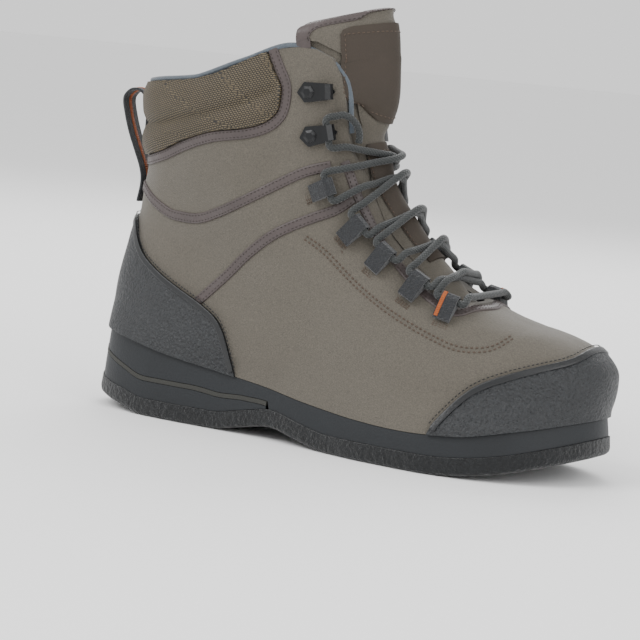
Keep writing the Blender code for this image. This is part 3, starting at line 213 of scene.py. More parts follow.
# Rings of the last from feather line to collar. Places are shares of the sole's length,
# rises are shares of the way from feather line to collar, widths are shares of the heel's
# width, and of the ball's for the last two. The two rounds are powers of the end curves.
LAST = (
    # back, back_rise, front, front_rise, bow, heel, waist_out, waist_in,
    # ball_out, ball_in, back_round, front_round, turn
    (0.016, 0.000, 0.987, 0.000, 0.000, 0.46, 0.51, 0.41, 0.445, 0.454, 2.3, 2.2, 0.110),
    (0.013, 0.047, 0.996, 0.053, 0.012, 0.47, 0.52, 0.44, 0.463, 0.472, 2.3, 2.3, 0.110),
    (0.015, 0.118, 0.995, 0.120, 0.027, 0.45, 0.51, 0.47, 0.447, 0.456, 2.3, 2.4, 0.110),
    (0.021, 0.212, 0.972, 0.186, 0.042, 0.42, 0.48, 0.47, 0.405, 0.420, 2.3, 2.4, 0.105),
    (0.032, 0.312, 0.924, 0.244, 0.040, 0.38, 0.46, 0.46, 0.352, 0.368, 2.3, 2.4, 0.090),
    (0.041, 0.400, 0.855, 0.289, 0.030, 0.37, 0.45, 0.45, 0.316, 0.325, 2.2, 2.4, 0.060),
    (0.048, 0.482, 0.770, 0.342, 0.015, 0.37, 0.45, 0.45, 0.294, 0.300, 2.2, 2.6, 0.035),
    (0.052, 0.559, 0.683, 0.406, 0.000, 0.38, 0.45, 0.45, 0.284, 0.288, 2.2, 2.8, 0.018),
    (0.054, 0.635, 0.599, 0.500, 0.000, 0.39, 0.46, 0.46, 0.282, 0.284, 2.2, 2.8, 0.009),
    (0.055, 0.712, 0.545, 0.637, 0.000, 0.40, 0.47, 0.47, 0.288, 0.288, 2.2, 2.7, 0.000),
    (0.052, 0.788, 0.520, 0.812, 0.000, 0.42, 0.48, 0.48, 0.297, 0.297, 2.2, 2.6, 0.000),
    (0.0495, 0.906, 0.505, 1.091, 0.000, 0.4325, 0.4925, 0.4925, 0.308, 0.308, 2.2, 2.6, 0.000),
)
EDGE_POINTS = 34

# Lines on the side of the upper: share of the sole's length, share of the rise to the collar
COLLAR_LINE = (
    (-0.06, 0.828), (0.05, 0.836), (0.12, 0.852), (0.20, 0.872), (0.26, 0.905),
    (0.305, 0.945), (0.348, 0.981), (0.390, 1.000), (0.434, 1.000), (0.460, 0.979),
    (0.472, 0.948), (0.4855, 0.875), (0.491, 0.811), (0.4975, 0.758), (0.502, 0.7305),
)
THROAT_LINE = (
    (0.5115, 0.703), (0.5205, 0.677), (0.540, 0.612), (0.557, 0.573), (0.572, 0.540),
    (0.5865, 0.511), (0.617, 0.4665), (0.652, 0.4225), (0.685, 0.3885), (0.717, 0.3615),
    (0.745, 0.3425), (0.760, 0.3415), (0.768, 0.362), (0.772, 0.400),
)
TOE_CAP_LINE = (
    (0.970, 0.280), (0.958, 0.214), (0.946, 0.188), (0.916, 0.178), (0.878, 0.166), (0.840, 0.150),
    (0.815, 0.133), (0.795, 0.104), (0.775, 0.060), (0.760, 0.022), (0.745, -0.060),
)
COUNTER_LINE = (
    (-0.05, 0.395), (0.045, 0.382), (0.060, 0.365), (0.078, 0.315), (0.102, 0.274), (0.140, 0.244),
    (0.200, 0.212), (0.262, 0.182), (0.300, 0.150), (0.325, 0.090), (0.345, 0.010), (0.358, -0.060),
)
PAD_LINE = (
    (-0.05, 0.590), (0.065, 0.598), (0.120, 0.625), (0.175, 0.672), (0.252, 0.722),
    (0.316, 0.746), (0.352, 0.772), (0.374, 0.815), (0.376, 0.870), (0.360, 0.925), (0.335, 1.060),
)
PAD_CREASE = ((-0.05, 0.700), (0.070, 0.704), (0.210, 0.762), (0.280, 0.800), (0.367, 0.874))
ANKLE_LINE = (
    (-0.05, 0.505), (0.060, 0.490), (0.110, 0.452), (0.165, 0.430), (0.208, 0.436), (0.275, 0.480),
    (0.330, 0.533), (0.387, 0.596), (0.442, 0.650), (0.478, 0.672),
)
QUARTER_LINE = (
    (0.240, 0.180), (0.262, 0.218), (0.298, 0.289), (0.338, 0.367), (0.400, 0.457), (0.457, 0.516),
    (0.505, 0.559), (0.521, 0.590),
)

# Middle line of the tongue's front, from under the vamp to its top edge. Past 1 the rise
# counts in shares of how far the tongue stands above the collar.
TONGUE = (
    # along, rise, half, sweep, thick
    (0.795, 0.290, 0.66, 0.22, 1.10),
    (0.745, 0.345, 0.68, 0.26, 1.35),
    (0.705, 0.402, 0.70, 0.34, 1.30),
    (0.668, 0.455, 0.72, 0.43, 1.15),
    (0.622, 0.520, 0.74, 0.52, 1.00),
    (0.576, 0.600, 0.78, 0.60, 1.00),
    (0.551, 0.668, 0.86, 0.74, 1.00),
    (0.541, 0.716, 0.90, 0.84, 1.00),
    (0.529, 0.768, 0.94, 0.92, 1.00),
    (0.537, 0.806, 0.97, 0.97, 1.45),
    (0.546, 0.858, 1.00, 1.00, 1.80),
    (0.545, 0.930, 1.00, 1.00, 1.80),
    (0.540, 1.120, 1.00, 0.98, 1.80),
    (0.529, 1.700, 0.98, 0.95, 1.60),
    (0.524, 1.900, 0.92, 0.93, 1.30),
    (0.521, 2.000, 0.78, 0.86, 0.70),
)
TONGUE_FOLD = 0.35

# Leather patches on the tongue: rows of TONGUE from and to, reach to each side in shares of
# the tongue's half width at the lower end and further up
PATCHES = (
    # name, start, end, low_reach, reach
    ("tongue_patch_lower", 3, 7.7, 0.33, 0.33),
    ("tongue_patch_upper", 9.1, 13.0, 0.36, 0.63),
)

# Lace loops, from the toe up: base and tip on the side of the upper
LOOPS = (
    # base_along, base_rise, tip_along, tip_rise
    (0.7270, 0.296, 0.7288, 0.339),
    (0.6544, 0.342, 0.6679, 0.386),
    (0.5815, 0.402, 0.5997, 0.450),
    (0.5192, 0.468, 0.5447, 0.517),
    (0.4507, 0.583, 0.4834, 0.612),
)

# Speed hooks, from the lower up: rear and front end of the plate
HOOKS = (
    # rear_along, rear_rise, front_along, front_rise
    (0.4196, 0.739, 0.4832, 0.772),
    (0.4091, 0.870, 0.4704, 0.884),
)

# Webbing loop at the back: its middle line, in metres behind the upper, at shares of the rise
PULL_LINE = (
    # out, rise
    (0.0044, 0.640), (0.0044, 0.700), (0.0046, 0.755), (0.0064, 0.790), (0.0110, 0.808),
    (0.0165, 0.803), (0.0205, 0.775), (0.0192, 0.720), (0.0152, 0.660), (0.0098, 0.600),
    (0.0048, 0.545), (0.0026, 0.500), (0.0026, 0.430),
)

# Free lace end that leaves the lower hook, goes over the piping and in beside the tongue
LACE_END = (
    # along, across, rise
    (0.4800, 0.252, 0.815),
    (0.4960, 0.240, 0.822),
    (0.5100, 0.205, 0.805),
    (0.5150, 0.172, 0.775),
    (0.5130, 0.162, 0.748),
)


def smooth(knots, values, at):
    """Read a smooth curve through the given values that never swings past them."""
    knots = np.asarray(knots, float)
    values = np.asarray(values, float)
    at = np.clip(np.asarray(at, float), knots[0], knots[-1])
    step = np.diff(knots)
    slope = np.diff(values) / step
    tangent = np.zeros(len(knots))
    tangent[0], tangent[-1] = slope[0], slope[-1]
    for i in range(1, len(knots) - 1):
        if slope[i - 1] * slope[i] > 0:
            before = 2 * step[i] + step[i - 1]
            after = step[i] + 2 * step[i - 1]
            tangent[i] = (before + after) / (before / slope[i - 1] + after / slope[i])
    i = np.clip(np.searchsorted(knots, at, side="right") - 1, 0, len(knots) - 2)
    t = (at - knots[i]) / step[i]
    return (
        (2 * t**3 - 3 * t**2 + 1) * values[i]
        + (t**3 - 2 * t**2 + t) * step[i] * tangent[i]
        + (3 * t**2 - 2 * t**3) * values[i + 1]
        + (t**3 - t**2) * step[i] * tangent[i + 1]
    )


def ease(start, end, at):
    """Go from 0 to 1 between start and end with soft ends."""
    t = np.clip((np.asarray(at, float) - start) / (end - start), 0, 1)
    return t * t * (3 - 2 * t)


def column(table, index):
    return np.array([row[index] for row in table])


def underside(x):
    """Height of the sole's underside at a distance from its back end."""
    along = np.asarray(x, float) / SOLE_LENGTH
    bevel, arch, toe = (smooth(column(UNDERSIDE, 0), column(UNDERSIDE, i), along) for i in (1, 2, 3))
    return bevel * HEEL_BEVEL + arch * ARCH_RISE + toe * TOE_SPRING


def feather(x):
    """Height of the midsole's top at a distance from the sole's back end."""
    along = np.asarray(x, float) / SOLE_LENGTH
    heel, toe = (smooth(column(FEATHER, 0), column(FEATHER, i), along) for i in (1, 2))
    return FORE_TOP + heel * (HEEL_TOP - FORE_TOP) + toe * TOE_SPRING


def lift(along, rise):
    """Place on the side of the boot from its shares: distance from the back, and height."""
    along = np.asarray(along, float)
    rise = np.asarray(rise, float)
    foot = feather(along * SOLE_LENGTH)
    low = foot + np.minimum(rise, 1) * (COLLAR_HEIGHT - foot)
    return along * SOLE_LENGTH, low + np.maximum(rise - 1, 0) * TONGUE_STANDS


def turn_angles():
    """Angles round a ring: 0 at the back, then the outer side, the toe and the inner side."""
    return np.arange(ROUND) * 2 * math.pi / ROUND


def sole_edge(grow):
    """Points of the sole's outline, seen from above, moved outwards by grow."""
    angle = turn_angles()
    half_turn = np.where(angle > math.pi, 2 * math.pi - angle, angle)
    along = 0.5 * (1 - np.cos(half_turn))
    knots = np.arccos(1 - 2 * column(PLAN, 0))
    width = HEEL_WIDTH + (BALL_WIDTH - HEEL_WIDTH) * ease(0.25, 0.60, along)
    outer = smooth(knots, column(PLAN, 1), half_turn) * width
    inner = smooth(knots, column(PLAN, 2), half_turn) * width
    y = np.where(angle > math.pi, inner, -outer)
    edge = np.stack([along * SOLE_LENGTH, y], 1)
    tangent = np.roll(edge, -1, 0) - np.roll(edge, 1, 0)
    tangent /= np.linalg.norm(tangent, axis=1, keepdims=True)
    return edge + grow * np.stack([tangent[:, 1], -tangent[:, 0]], 1)


def end_curve(share, power, reach):
    """Close a ring's end: 0 at its tip, 1 from reach onwards."""
    left = np.clip(1 - share / reach, 0, 1)
    return (1 - left**power) ** (1 / power)


def last_point(level, share, side):
    """A point of the upper's outer form, on its outer (-1) or inner (+1) side.

    level counts the rows of LAST, and share runs from the ring's back to its front.
    """
    rows = np.arange(len(LAST))
    (back, back_rise, front, front_rise, bow, heel, waist_out, waist_in, ball_out, ball_in,
     back_round, front_round, turn) = (smooth(rows, column(LAST, i), level) for i in range(13))
    waist = np.where(side < 0, waist_out, waist_in) * HEEL_WIDTH
    ball = np.where(side < 0, ball_out, ball_in) * BALL_WIDTH
    heel = heel * HEEL_WIDTH
    low = heel + (waist - heel) * ease(0.16, 0.44, share)
    half = low + (ball - waist) * ease(0.44, 0.72, share)
    half = half * end_curve(share, back_round, 0.30) * end_curve(1 - share, front_round, 0.42)
    along = back + (front - back) * share
    middle = turn * BALL_WIDTH * np.clip((share - 0.45) / 0.55, 0, 1) ** 1.6
    rise = back_rise + (front_rise - back_rise) * share + bow * 4 * share * (1 - share)
    x = along * SOLE_LENGTH
    foot = feather(x)
    return np.stack([x, middle + side * half, foot + rise * (COLLAR_HEIGHT - foot)], -1)


def last_ring(level):
    """One closed ring of the last. Near the sole it takes the shape of the midsole's edge."""
    angle = turn_angles()
    share = 0.5 * (1 - np.cos(angle))
    side = np.where(angle < math.pi, -1.0, 1.0)
    ring = last_point(np.full(ROUND, float(level)), share, side)
    edge = sole_edge(-FLARE)
    weight = 1 - ease(0, 1.8, level)
    ring[:, 2] += weight * (feather(edge[:, 0]) - feather(ring[:, 0]))
    ring[:, :2] += weight * (edge - ring[:, :2])
    return ring


def on_side(along, rise, side, offset=0.0):
    """Point and outward direction on the upper, at a place given by its side-view shares."""
    x, z = lift(along, rise)
    rows = np.arange(len(LAST))
    low, high = 0.0, float(rows[-1])

    def place(level):
        back, front = (float(smooth(rows, column(LAST, i), level)) for i in (0, 2))
        share = (along - back) / (front - back)
        return share, last_point(level, min(max(share, 0.0), 1.0), side)

    for _ in range(40):
        level = (low + high) / 2
        share, point = place(level)
        if share > 1 or point[2] > z:
            high = level
        else:
            low = level
    share, point = place(low)
    share = min(max(share, 0.01), 0.99)
    step = 0.004
    across = last_point(low, share + step, side) - last_point(low, share - step, side)
    up = last_point(min(low + 0.05, rows[-1]), share, side) - last_point(low - 0.05, share, side)
    normal = np.cross(across, up) * -side
    normal /= np.linalg.norm(normal)
    return point + normal * offset, normal


def at_collar(share, side, offset, above):
    """Point of the upper's rim at a share of its ring, above the collar's line."""
    along, rise = (column(COLLAR_LINE, i) for i in (0, 1))
    low, high = 6.0, float(len(LAST) - 1)
    for _ in range(40):
        level = (low + high) / 2
        point = last_point(level, share, side)
        line = lift(point[0] / SOLE_LENGTH, smooth(along, rise, point[0] / SOLE_LENGTH))[1]
        if point[2] > line + above:
            high = level
        else:
            low = level
    step = 0.01
    near = min(max(share, 0.005), 0.995)
    across = last_point(low, near + step / 2, side) - last_point(low, near - step / 2, side)
    up = last_point(low, near, side) - last_point(low - 0.3, near, side)
    normal = np.cross(across, up) * -side
    if share < 0.001:
        normal = np.array([-1.0, 0.0, 0.0])
    normal /= np.linalg.norm(normal)
    return point + normal * offset


def stack(name, rings, look=None, split=True):
    """Close a pile of equal rings, whose ends are filled in strips across the boot.

    Forms are split by one and the same diagonal, so that what lies between two of them fits.
    """
    count = len(rings[0])
    points = np.concatenate(rings)
    faces = []
    for level in range(len(rings) - 1):
        low, high = level * count, (level + 1) * count
        for i in range(count):
            k = (i + 1) % count
            if split:
                faces += [(low + i, low + k, high + k), (low + i, high + k, high + i)]
            else:
                faces.append((low + i, low + k, high + k, high + i))
    for start in (0, (len(rings) - 1) * count):
        faces.append((start, start + 1, start + count - 1))
        for i in range(1, count // 2 - 1):
            faces.append((start + i, start + i + 1, start + count - i - 1, start + count - i))
        middle = count // 2
        faces.append((start + middle - 1, start + middle, start + middle + 1))
    return add_object(name, mesh_from(name, points, faces), look)


def prism(name, outline, low_y, high_y, look=None):
    """A side-view outline of (x, z) points, extruded across the boot."""
    count = len(outline)
    points = [(x, low_y, z) for x, z in outline] + [(x, high_y, z) for x, z in outline]
    faces = [tuple(range(count)), tuple(range(2 * count - 1, count - 1, -1))]
    for i in range(count):
        k = (i + 1) % count
        faces.append((i, k, count + k, count + i))
    mesh = mesh_from(name, points, faces)
    work = bmesh.new()
    work.from_mesh(mesh)
    bmesh.ops.triangulate(work, faces=[f for f in work.faces if len(f.verts) > 4])
    work.to_mesh(mesh)
    work.free()
    return add_object(name, mesh, look)


def boolean(target, operation, *tools):
    for tool in tools:
        change = target.modifiers.new(operation.lower(), "BOOLEAN")
        change.operation = operation
        change.solver = "EXACT"
        change.object = tool
    return target


def line(points, count, offset=0.0):
    """A smooth side-view line through share points, as (x, z), moved to its left by offset."""
    x, z = lift(column(points, 0), column(points, 1))
    run = np.concatenate([[0], np.cumsum(np.hypot(np.diff(x), np.diff(z)))])
    at = np.linspace(0, run[-1], count)
    path = np.stack([smooth(run, x, at), smooth(run, z, at)], 1)
    tangent = np.gradient(path, axis=0)
    tangent /= np.linalg.norm(tangent, axis=1, keepdims=True)
    return path + np.reshape(offset, (-1, 1)) * np.stack([-tangent[:, 1], tangent[:, 0]], 1)


def length(points):
    x, z = lift(column(points, 0), column(points, 1))
    return float(np.sum(np.hypot(np.diff(x), np.diff(z))))


def band(points, count, left, right):
    """Outline of a band along a side-view line, from left of it to right of it."""
    return np.concatenate([line(points, count, left), line(points, count, -right)[::-1]])


def between(low, high, x):
    """Side-view outline between two heights."""
    return list(zip(x, low(x))) + list(zip(x[::-1], high(x[::-1])))


def edge_cutter(name, offset):
    """All that lies above the collar's line and in front of the throat's."""
    edge = line(EDGE_LINE, EDGE_POINTS, offset)
    return prism(name, [*edge, (edge[-1][0], ABOVE), (edge[0][0], ABOVE)], -REACH, REACH)


def sole_ring(height, grow):
    edge = sole_edge(grow)
    return np.column_stack([edge, height(edge[:, 0])])


def felt_top(x):
    return underside(x) + FELT


def stripe_top(x):
    rise = smooth(column(STRIPE_LINE, 0), column(STRIPE_LINE, 1), x / SOLE_LENGTH)
    return felt_top(x) + rise * STRIPE_RISE


def stripe_low(x):
    return np.maximum(stripe_top(x) - STRIPE, felt_top(x) + GAP)


def midsole_low(x):
    over_stripe = np.where(x < (STRIPE_END + STRIPE_STEP) * SOLE_LENGTH, stripe_top(x) + GAP, 0)
    return np.maximum(over_stripe, felt_top(x) + GAP)


def nearest(points, path):
    """Distance of each (x, z) point to a path."""
    apart = points[:, None, :] - np.asarray(path)[None, :, :]
    return np.min(np.hypot(apart[..., 0], apart[..., 1]), axis=1)


def tongue_row(v):
    rows = np.arange(len(TONGUE))
    return [smooth(rows, column(TONGUE, i), v) for i in range(5)]


def fold(across):
    """How far the tongue's side has dropped behind its middle: 0 in the middle, 1 at the edge."""
    return (np.sqrt(across**2 + TONGUE_FOLD**2) - TONGUE_FOLD) / (
        math.sqrt(1 + TONGUE_FOLD**2) - TONGUE_FOLD)


def tongue_point(v, across, height):
    """Point at a height over the tongue's front: v counts its rows, across goes from -1 to 1."""
    along, rise, half, sweep, _ = tongue_row(v)
    before, after = (np.array(lift(*tongue_row(v + d)[:2])) for d in (-0.05, 0.05))
    run = (after - before) / np.linalg.norm(after - before)
    forward = np.array([run[1], -run[0]])
    x, z = lift(along, rise)
    half = half * TONGUE_HALF
    sweep = sweep * TONGUE_SWEEP
    slope = (fold(across + 0.01) - fold(across - 0.01)) / 0.02 * sweep
    normal = np.array([half, slope]) / math.hypot(half, slope)
    ahead = -sweep * fold(across) + height * normal[0]
    return np.array([
        x + forward[0] * ahead,
        across * half + height * normal[1],
        z + forward[1] * ahead,
    ])


def round_curve(path, run, count):
    """Points evenly spaced on a curve that bends softly through the given ones."""
    at = np.linspace(0, run[-1], count)
    tangent = np.zeros_like(path)
    tangent[1:-1] = (path[2:] - path[:-2]) / (run[2:] - run[:-2])[:, None]
    tangent[0] = (path[1] - path[0]) / (run[1] - run[0])
    tangent[-1] = (path[-1] - path[-2]) / (run[-1] - run[-2])
    i = np.clip(np.searchsorted(run, at, side="right") - 1, 0, len(run) - 2)
    step = (run[i + 1] - run[i])[:, None]
    t = ((at - run[i])[:, None]) / step
    return (
        (2 * t**3 - 3 * t**2 + 1) * path[i] + (t**3 - 2 * t**2 + t) * step * tangent[i]
        + (3 * t**2 - 2 * t**3) * path[i + 1] + (t**3 - t**2) * step * tangent[i + 1]
    )


def frame_at(origin, ahead, outward):
    """Matrix of a small piece: its X runs ahead, its Z outwards."""
    ahead = np.asarray(ahead, float)
    outward = np.asarray(outward, float)
    ahead = ahead - outward * ahead.dot(outward)
    ahead /= np.linalg.norm(ahead)
    across = np.cross(outward, ahead)
    matrix = Matrix.Identity(4)
    for row in range(3):
        matrix[row][0], matrix[row][1], matrix[row][2] = ahead[row], across[row], outward[row]
        matrix[row][3] = origin[row]
    return matrix


def rest_height(tree, matrix, low_x, high_x, half_width):
    """How far the ground stands above a frame's plane, within a rectangle round its origin."""
    highest = -1.0
    down = -Vector(matrix.col[2][:3])
    for x in np.linspace(low_x, high_x, 7):
        for y in np.linspace(-half_width, half_width, 5):
            start = matrix @ Vector((x, y, 0.02))
            hit, _, _, distance = tree.ray_cast(start, down, 0.04)
            if hit:
                highest = max(highest, 0.02 - distance)
    return highest


def raised(matrix, height):
    moved = matrix.copy()
    moved.translation += Vector(matrix.col[2][:3]) * height
    return moved


def clearance(tree, point, outward):
    """Signed distance from a point to the ground and the way out of it."""
    spot, normal, _, distance = tree.find_nearest(Vector(point))
    away = np.array(Vector(point) - spot)
    if distance < 1e-6:
        return 0.0, np.array(normal)
    buried = away.dot(normal) < 0 or away.dot(outward) < -0.5 * distance
    return (-distance, -away / distance) if buried else (distance, away / distance)


def push_out(tree, path, need, outward):
    """Move a path's points off the ground until they clear it; its first point stays."""
    path = np.array(path)
    for _ in range(2 * LACE_ROUNDS):
        for i in range(1, len(path)):
            clear, out = clearance(tree, path[i], outward)
            if clear < need:
                path[i] += out * (need - clear)
        for i in range(1, len(path) - 1):
            for share in (0.25, 0.5, 0.75):
                spot = path[i] + (path[i + 1] - path[i]) * share
                clear, out = clearance(tree, spot, outward)
                if clear < need - GAP:
                    path[i] += out * (need - GAP - clear) * (1.2 - share)
                    path[i + 1] += out * (need - GAP - clear) * (0.2 + share)
    return path


def loop_frames(tree):
    """Where each lace loop's tunnel lies, from the toe up, on both sides."""
    height = LACE_RADIUS + LACE_PLAY + WEBBING + GAP
    frames = {-1: [], 1: []}
    for side in (-1, 1):
        for base_along, base_rise, tip_along, tip_rise in LOOPS:
            base, _ = on_side(base_along, base_rise, side)
            tip, _ = on_side(tip_along, tip_rise, side)
            _, outward = on_side((base_along + tip_along) / 2, (base_rise + tip_rise) / 2, side)
            reach = float(np.linalg.norm(tip - base))
            flat = frame_at(tip, tip - base, outward)
            under = rest_height(tree, flat, -reach, LACE_RADIUS, LOOP_WIDTH / 2)
            frames[side].append((raised(flat, under + GAP + height), reach))
    return frames


def hook_frames(tree):
    frames = {-1: [], 1: []}
    for side in (-1, 1):
        for rear_along, rear_rise, front_along, front_rise in HOOKS:
            rear, _ = on_side(rear_along, rear_rise, side)
            front, _ = on_side(front_along, front_rise, side)
            middle, outward = on_side((rear_along + front_along) / 2, (rear_rise + front_rise) / 2, side)
            flat = frame_at(middle, front - rear, outward)
            long = HOOK_LENGTH / 2
            under = rest_height(tree, flat, -long, long, HOOK_WIDTH * HOOK_SWELL)
            frames[side].append(raised(flat, under + GAP))
    return frames


def lace_stops(loops, hooks, hook_centre):
    """Middle of each tunnel with its ways up the throat and towards it, from the toe up."""
    stops = {}
    for side in (-1, 1):
        found = [(matrix, matrix.translation) for matrix, _ in loops[side]]
        matrix = hooks[side][0]
        found.append((matrix, matrix @ Vector((hook_centre[0], 0, hook_centre[1]))))
        stops[side] = []
        for matrix, centre in found:
            up = np.array(matrix.col[1][:3])
            stops[side].append((np.array(centre), math.copysign(1, up[2]) * up,
                                np.array(matrix.col[0][:3]), np.array(matrix.col[2][:3])))
    return stops


def taut(first, last, outward, heights):
    """Points of a cord stretched from first to last over obstacles of the given heights."""
    count = len(heights)
    at = np.linspace(0, 1, count)
    hull = [
        max(
            heights[a] + (heights[b] - heights[a]) * ((i - a) / (b - a) if b > a else 0)
            for a in range(i + 1) for b in range(i, count)
        )
        for i in range(count)
    ]
    return [first + (last - first) * t + outward * h for t, h in zip(at, hull)]


def lift_needed(tree, point, outward, along, need):
    """How far a ball of radius need must move outwards from a point to clear the ground."""
    ahead = along / np.linalg.norm(along)
    ahead = ahead - outward * ahead.dot(outward)
    side = np.cross(outward, ahead)
    lift_by = -1.0
    for a in (-0.9, -0.5, 0, 0.5, 0.9):
        for b in (-0.9, -0.5, 0, 0.5, 0.9):
            if a * a + b * b > 1:
                continue
            start = Vector(point + (ahead * a + side * b) * need + outward * 0.03)
            hit, _, _, distance = tree.ray_cast(start, -Vector(outward), 0.04)
            if hit:
                lift_by = max(lift_by, 0.03 - distance + need * math.sqrt(1 - a * a - b * b))
    return lift_by


def over_cord(point, under, outward):
    """How far a point must move outwards to rest on another cord's middle line."""
    at = np.linspace(0, len(under) - 1, 8 * len(under))
    middle = np.stack([np.interp(at, range(len(under)), under[:, i]) for i in range(3)], 1)
    away = point - middle
    height = away @ outward
    aside = np.sum(away**2, axis=1) - height**2
    near = aside < LACE_OVER**2
    return max(0.0, *(np.sqrt(LACE_OVER**2 - aside[near]) - height[near])) if near.any() else 0.0


def strand(tree, start, end, outward, under=None):
    """Path of a lace from one tunnel to another, stretched over the ground and another lace."""
    (centre, up, ahead, normal), (far_centre, far_up, far_ahead, far_normal) = start, end
    half = LOOP_WIDTH / 2 + LACE_EXIT
    exits = [centre + up * half, far_centre - far_up * half]
    first, last = exits[0] + ahead * LACE_TURN, exits[1] + far_ahead * LACE_TURN
    need = LACE_RADIUS + LACE_CLEAR

    def lift_at(spot, along, way):
        by_ground = lift_needed(tree, spot, way, along, need)
        by_lace = over_cord(spot, under, outward) if under is not None else 0.0
        return way * max(0.0, by_ground, by_lace)

    steps = np.linspace(0, 1, LACE_STEPS)[1:-1]
    heights = [lift_at(first + (last - first) * t, last - first, outward) @ outward for t in steps]
    path = taut(first, last, outward, [0.0, *heights, 0.0])
    path = np.array([exits[0], *path, exits[1]])
    run = np.concatenate([[0], np.cumsum(np.linalg.norm(np.diff(path, axis=0), axis=1))])
    path = round_curve(path, run, LACE_POINTS - 2)
    end = len(path) - 1
    share = np.linspace(0, 1, end + 1)[:, None]
    near, far = 1 - ease(0, LACE_SIDE, share), ease(1 - LACE_SIDE, 1, share)
    ways = normal * near + far_normal * far + outward * (1 - near - far)
    ways /= np.linalg.norm(ways, axis=1, keepdims=True)
    for _ in range(LACE_ROUNDS):
        for i in range(1, end):
            path[i] += lift_at(path[i], path[i + 1] - path[i - 1], ways[i])
        for i in range(end):
            for share in (0.33, 0.67):
                along = path[i + 1] - path[i]
                way = ways[i] * (1 - share) + ways[i + 1] * share
                lift_by = lift_at(path[i] + along * share, along, way / np.linalg.norm(way))
                if i > 0:
                    path[i] += lift_by * (1 - share)
                if i < end - 1:
                    path[i + 1] += lift_by * share
    tips = [centre + up * LACE_APART, far_centre - far_up * LACE_APART]
    return np.array([tips[0], *path, tips[1]])


def placed(table, side):
    """Points from shares of the length, the ball's width and the rise, on one side."""
    along, across, rise = (column(table, i) for i in range(3))
    x, z = lift(along, rise)
    return list(np.stack([x, side * across * BALL_WIDTH, z], 1))


def back_at(rise):
    rows = np.arange(len(LAST))
    level = np.interp(rise, column(LAST, 1), rows)
    return float(smooth(rows, column(LAST, 0), level)) * SOLE_LENGTH


REACH = 0.10
ABOVE = COLLAR_HEIGHT + 2 * TONGUE_STANDS
BEYOND = SOLE_LENGTH * 1.1
EDGE_LINE = COLLAR_LINE + THROAT_LINE
STITCH_LINE = (
    (0.4436, 0.4598), (0.4810, 0.4367), (0.5566, 0.3626), (0.6495, 0.2955), (0.7164, 0.2572),
    (0.7770, 0.2302), (0.8166, 0.2324), (0.8372, 0.2494), (0.8508, 0.2774),
)

# Soft troughs (-) and ridges (+) of the upper, in side view: from, to, half width and depth in mm
CREASES = (
    # along, rise, along, rise, width, depth
    (0.060, 0.560, 0.300, 0.640, 9.0, -0.7),
    (0.120, 0.520, 0.380, 0.690, 8.0, 0.7),
    (0.400, 0.760, 0.440, 0.960, 7.0, 0.5),
    (0.360, 0.620, 0.460, 0.800, 8.0, -0.5),
    (0.070, 0.400, 0.260, 0.330, 9.0, -0.8),
    (0.200, 0.380, 0.420, 0.560, 7.0, 0.6),
    (0.300, 0.300, 0.470, 0.480, 10.0, -0.6),
    (0.500, 0.520, 0.560, 0.360, 9.0, -0.8),
    (0.560, 0.460, 0.640, 0.300, 8.0, 0.6),
    (0.640, 0.360, 0.720, 0.230, 9.0, -0.6),
    (0.720, 0.200, 0.800, 0.100, 10.0, 0.5),
    (0.780, 0.260, 0.900, 0.210, 8.0, -0.5),
)


def relief(points, side):
    """How far the upper's surface stands out of the last at each point."""
    x, z = points[..., 0], points[..., 2]
    total = 0.00022 * np.sin(x * 140 + z * 90 + side) * np.sin(z * 130 - x * 60)
    for along, rise, far_along, far_rise, width, depth in CREASES:
        start, end = (np.array(lift(a, r), float) for a, r in ((along, rise), (far_along, far_rise)))
        run = end - start
        share = np.clip(((x - start[0]) * run[0] + (z - start[1]) * run[1]) / run.dot(run), 0, 1)
        apart = np.hypot(x - start[0] - share * run[0], z - start[1] - share * run[1])
        total = total + depth / 1000 * np.exp(-(apart / (width / 1000)) ** 2)
    seam = line(STITCH_LINE, 60, 0.0)
    near = nearest(points[:, [0, 2]], seam)
    return total - 0.0004 * np.exp(-(near / 0.0022) ** 2)


def last_grid(levels):
    """Rings of the last at the given levels and the outward direction at each of their points."""
    grid = np.array([last_ring(level) for level in levels])
    along = np.roll(grid, -1, 1) - np.roll(grid, 1, 1)
    up = np.gradient(grid, axis=0)
    normal = np.cross(along, up)
    normal /= np.linalg.norm(normal, axis=2, keepdims=True)
    return grid, normal


LEVELS = np.linspace(0, len(LAST) - 1, FORM_LEVELS)
GRID, NORMAL = last_grid(LEVELS)
SIDES = np.where(turn_angles() < math.pi, -1.0, 1.0)
for row, level in enumerate(LEVELS):
    GRID[row] += NORMAL[row] * (relief(GRID[row], SIDES) * ease(0.3, 1.6, level))[:, None]


def form_rings(offset, below, above):
    """Rings of the last moved outwards by offset, carried on below the sole's edge and above."""
    rings = list(GRID + NORMAL * offset)
    flat = NORMAL[0] * np.array([1, 1, 0])
    flat /= np.linalg.norm(flat, axis=1, keepdims=True)
    rings[0] = GRID[0] + flat * offset
    lowest = rings[0] - np.array([0, 0, below])
    highest = rings[-1] + np.array([0, 0, above])
    return [lowest] + rings + [highest]


def add_object(name, mesh, look=None):
    """Put a mesh in the scene; without a look it is a guide that only shapes others."""
    thing = bpy.data.objects.new(name, mesh)
    bpy.context.scene.collection.objects.link(thing)
    if look:
        mesh.materials.append(look)
    return thing


def mesh_from(name, points, faces, sharp=40):
    mesh = bpy.data.meshes.new(name)
    mesh.from_pydata([tuple(map(float, p)) for p in points], [], faces)
    work = bmesh.new()
    work.from_mesh(mesh)
    bmesh.ops.recalc_face_normals(work, faces=work.faces)
    work.to_mesh(mesh)
    work.free()
    mesh.shade_smooth()
    mesh.set_sharp_from_angle(angle=math.radians(sharp))
    return mesh


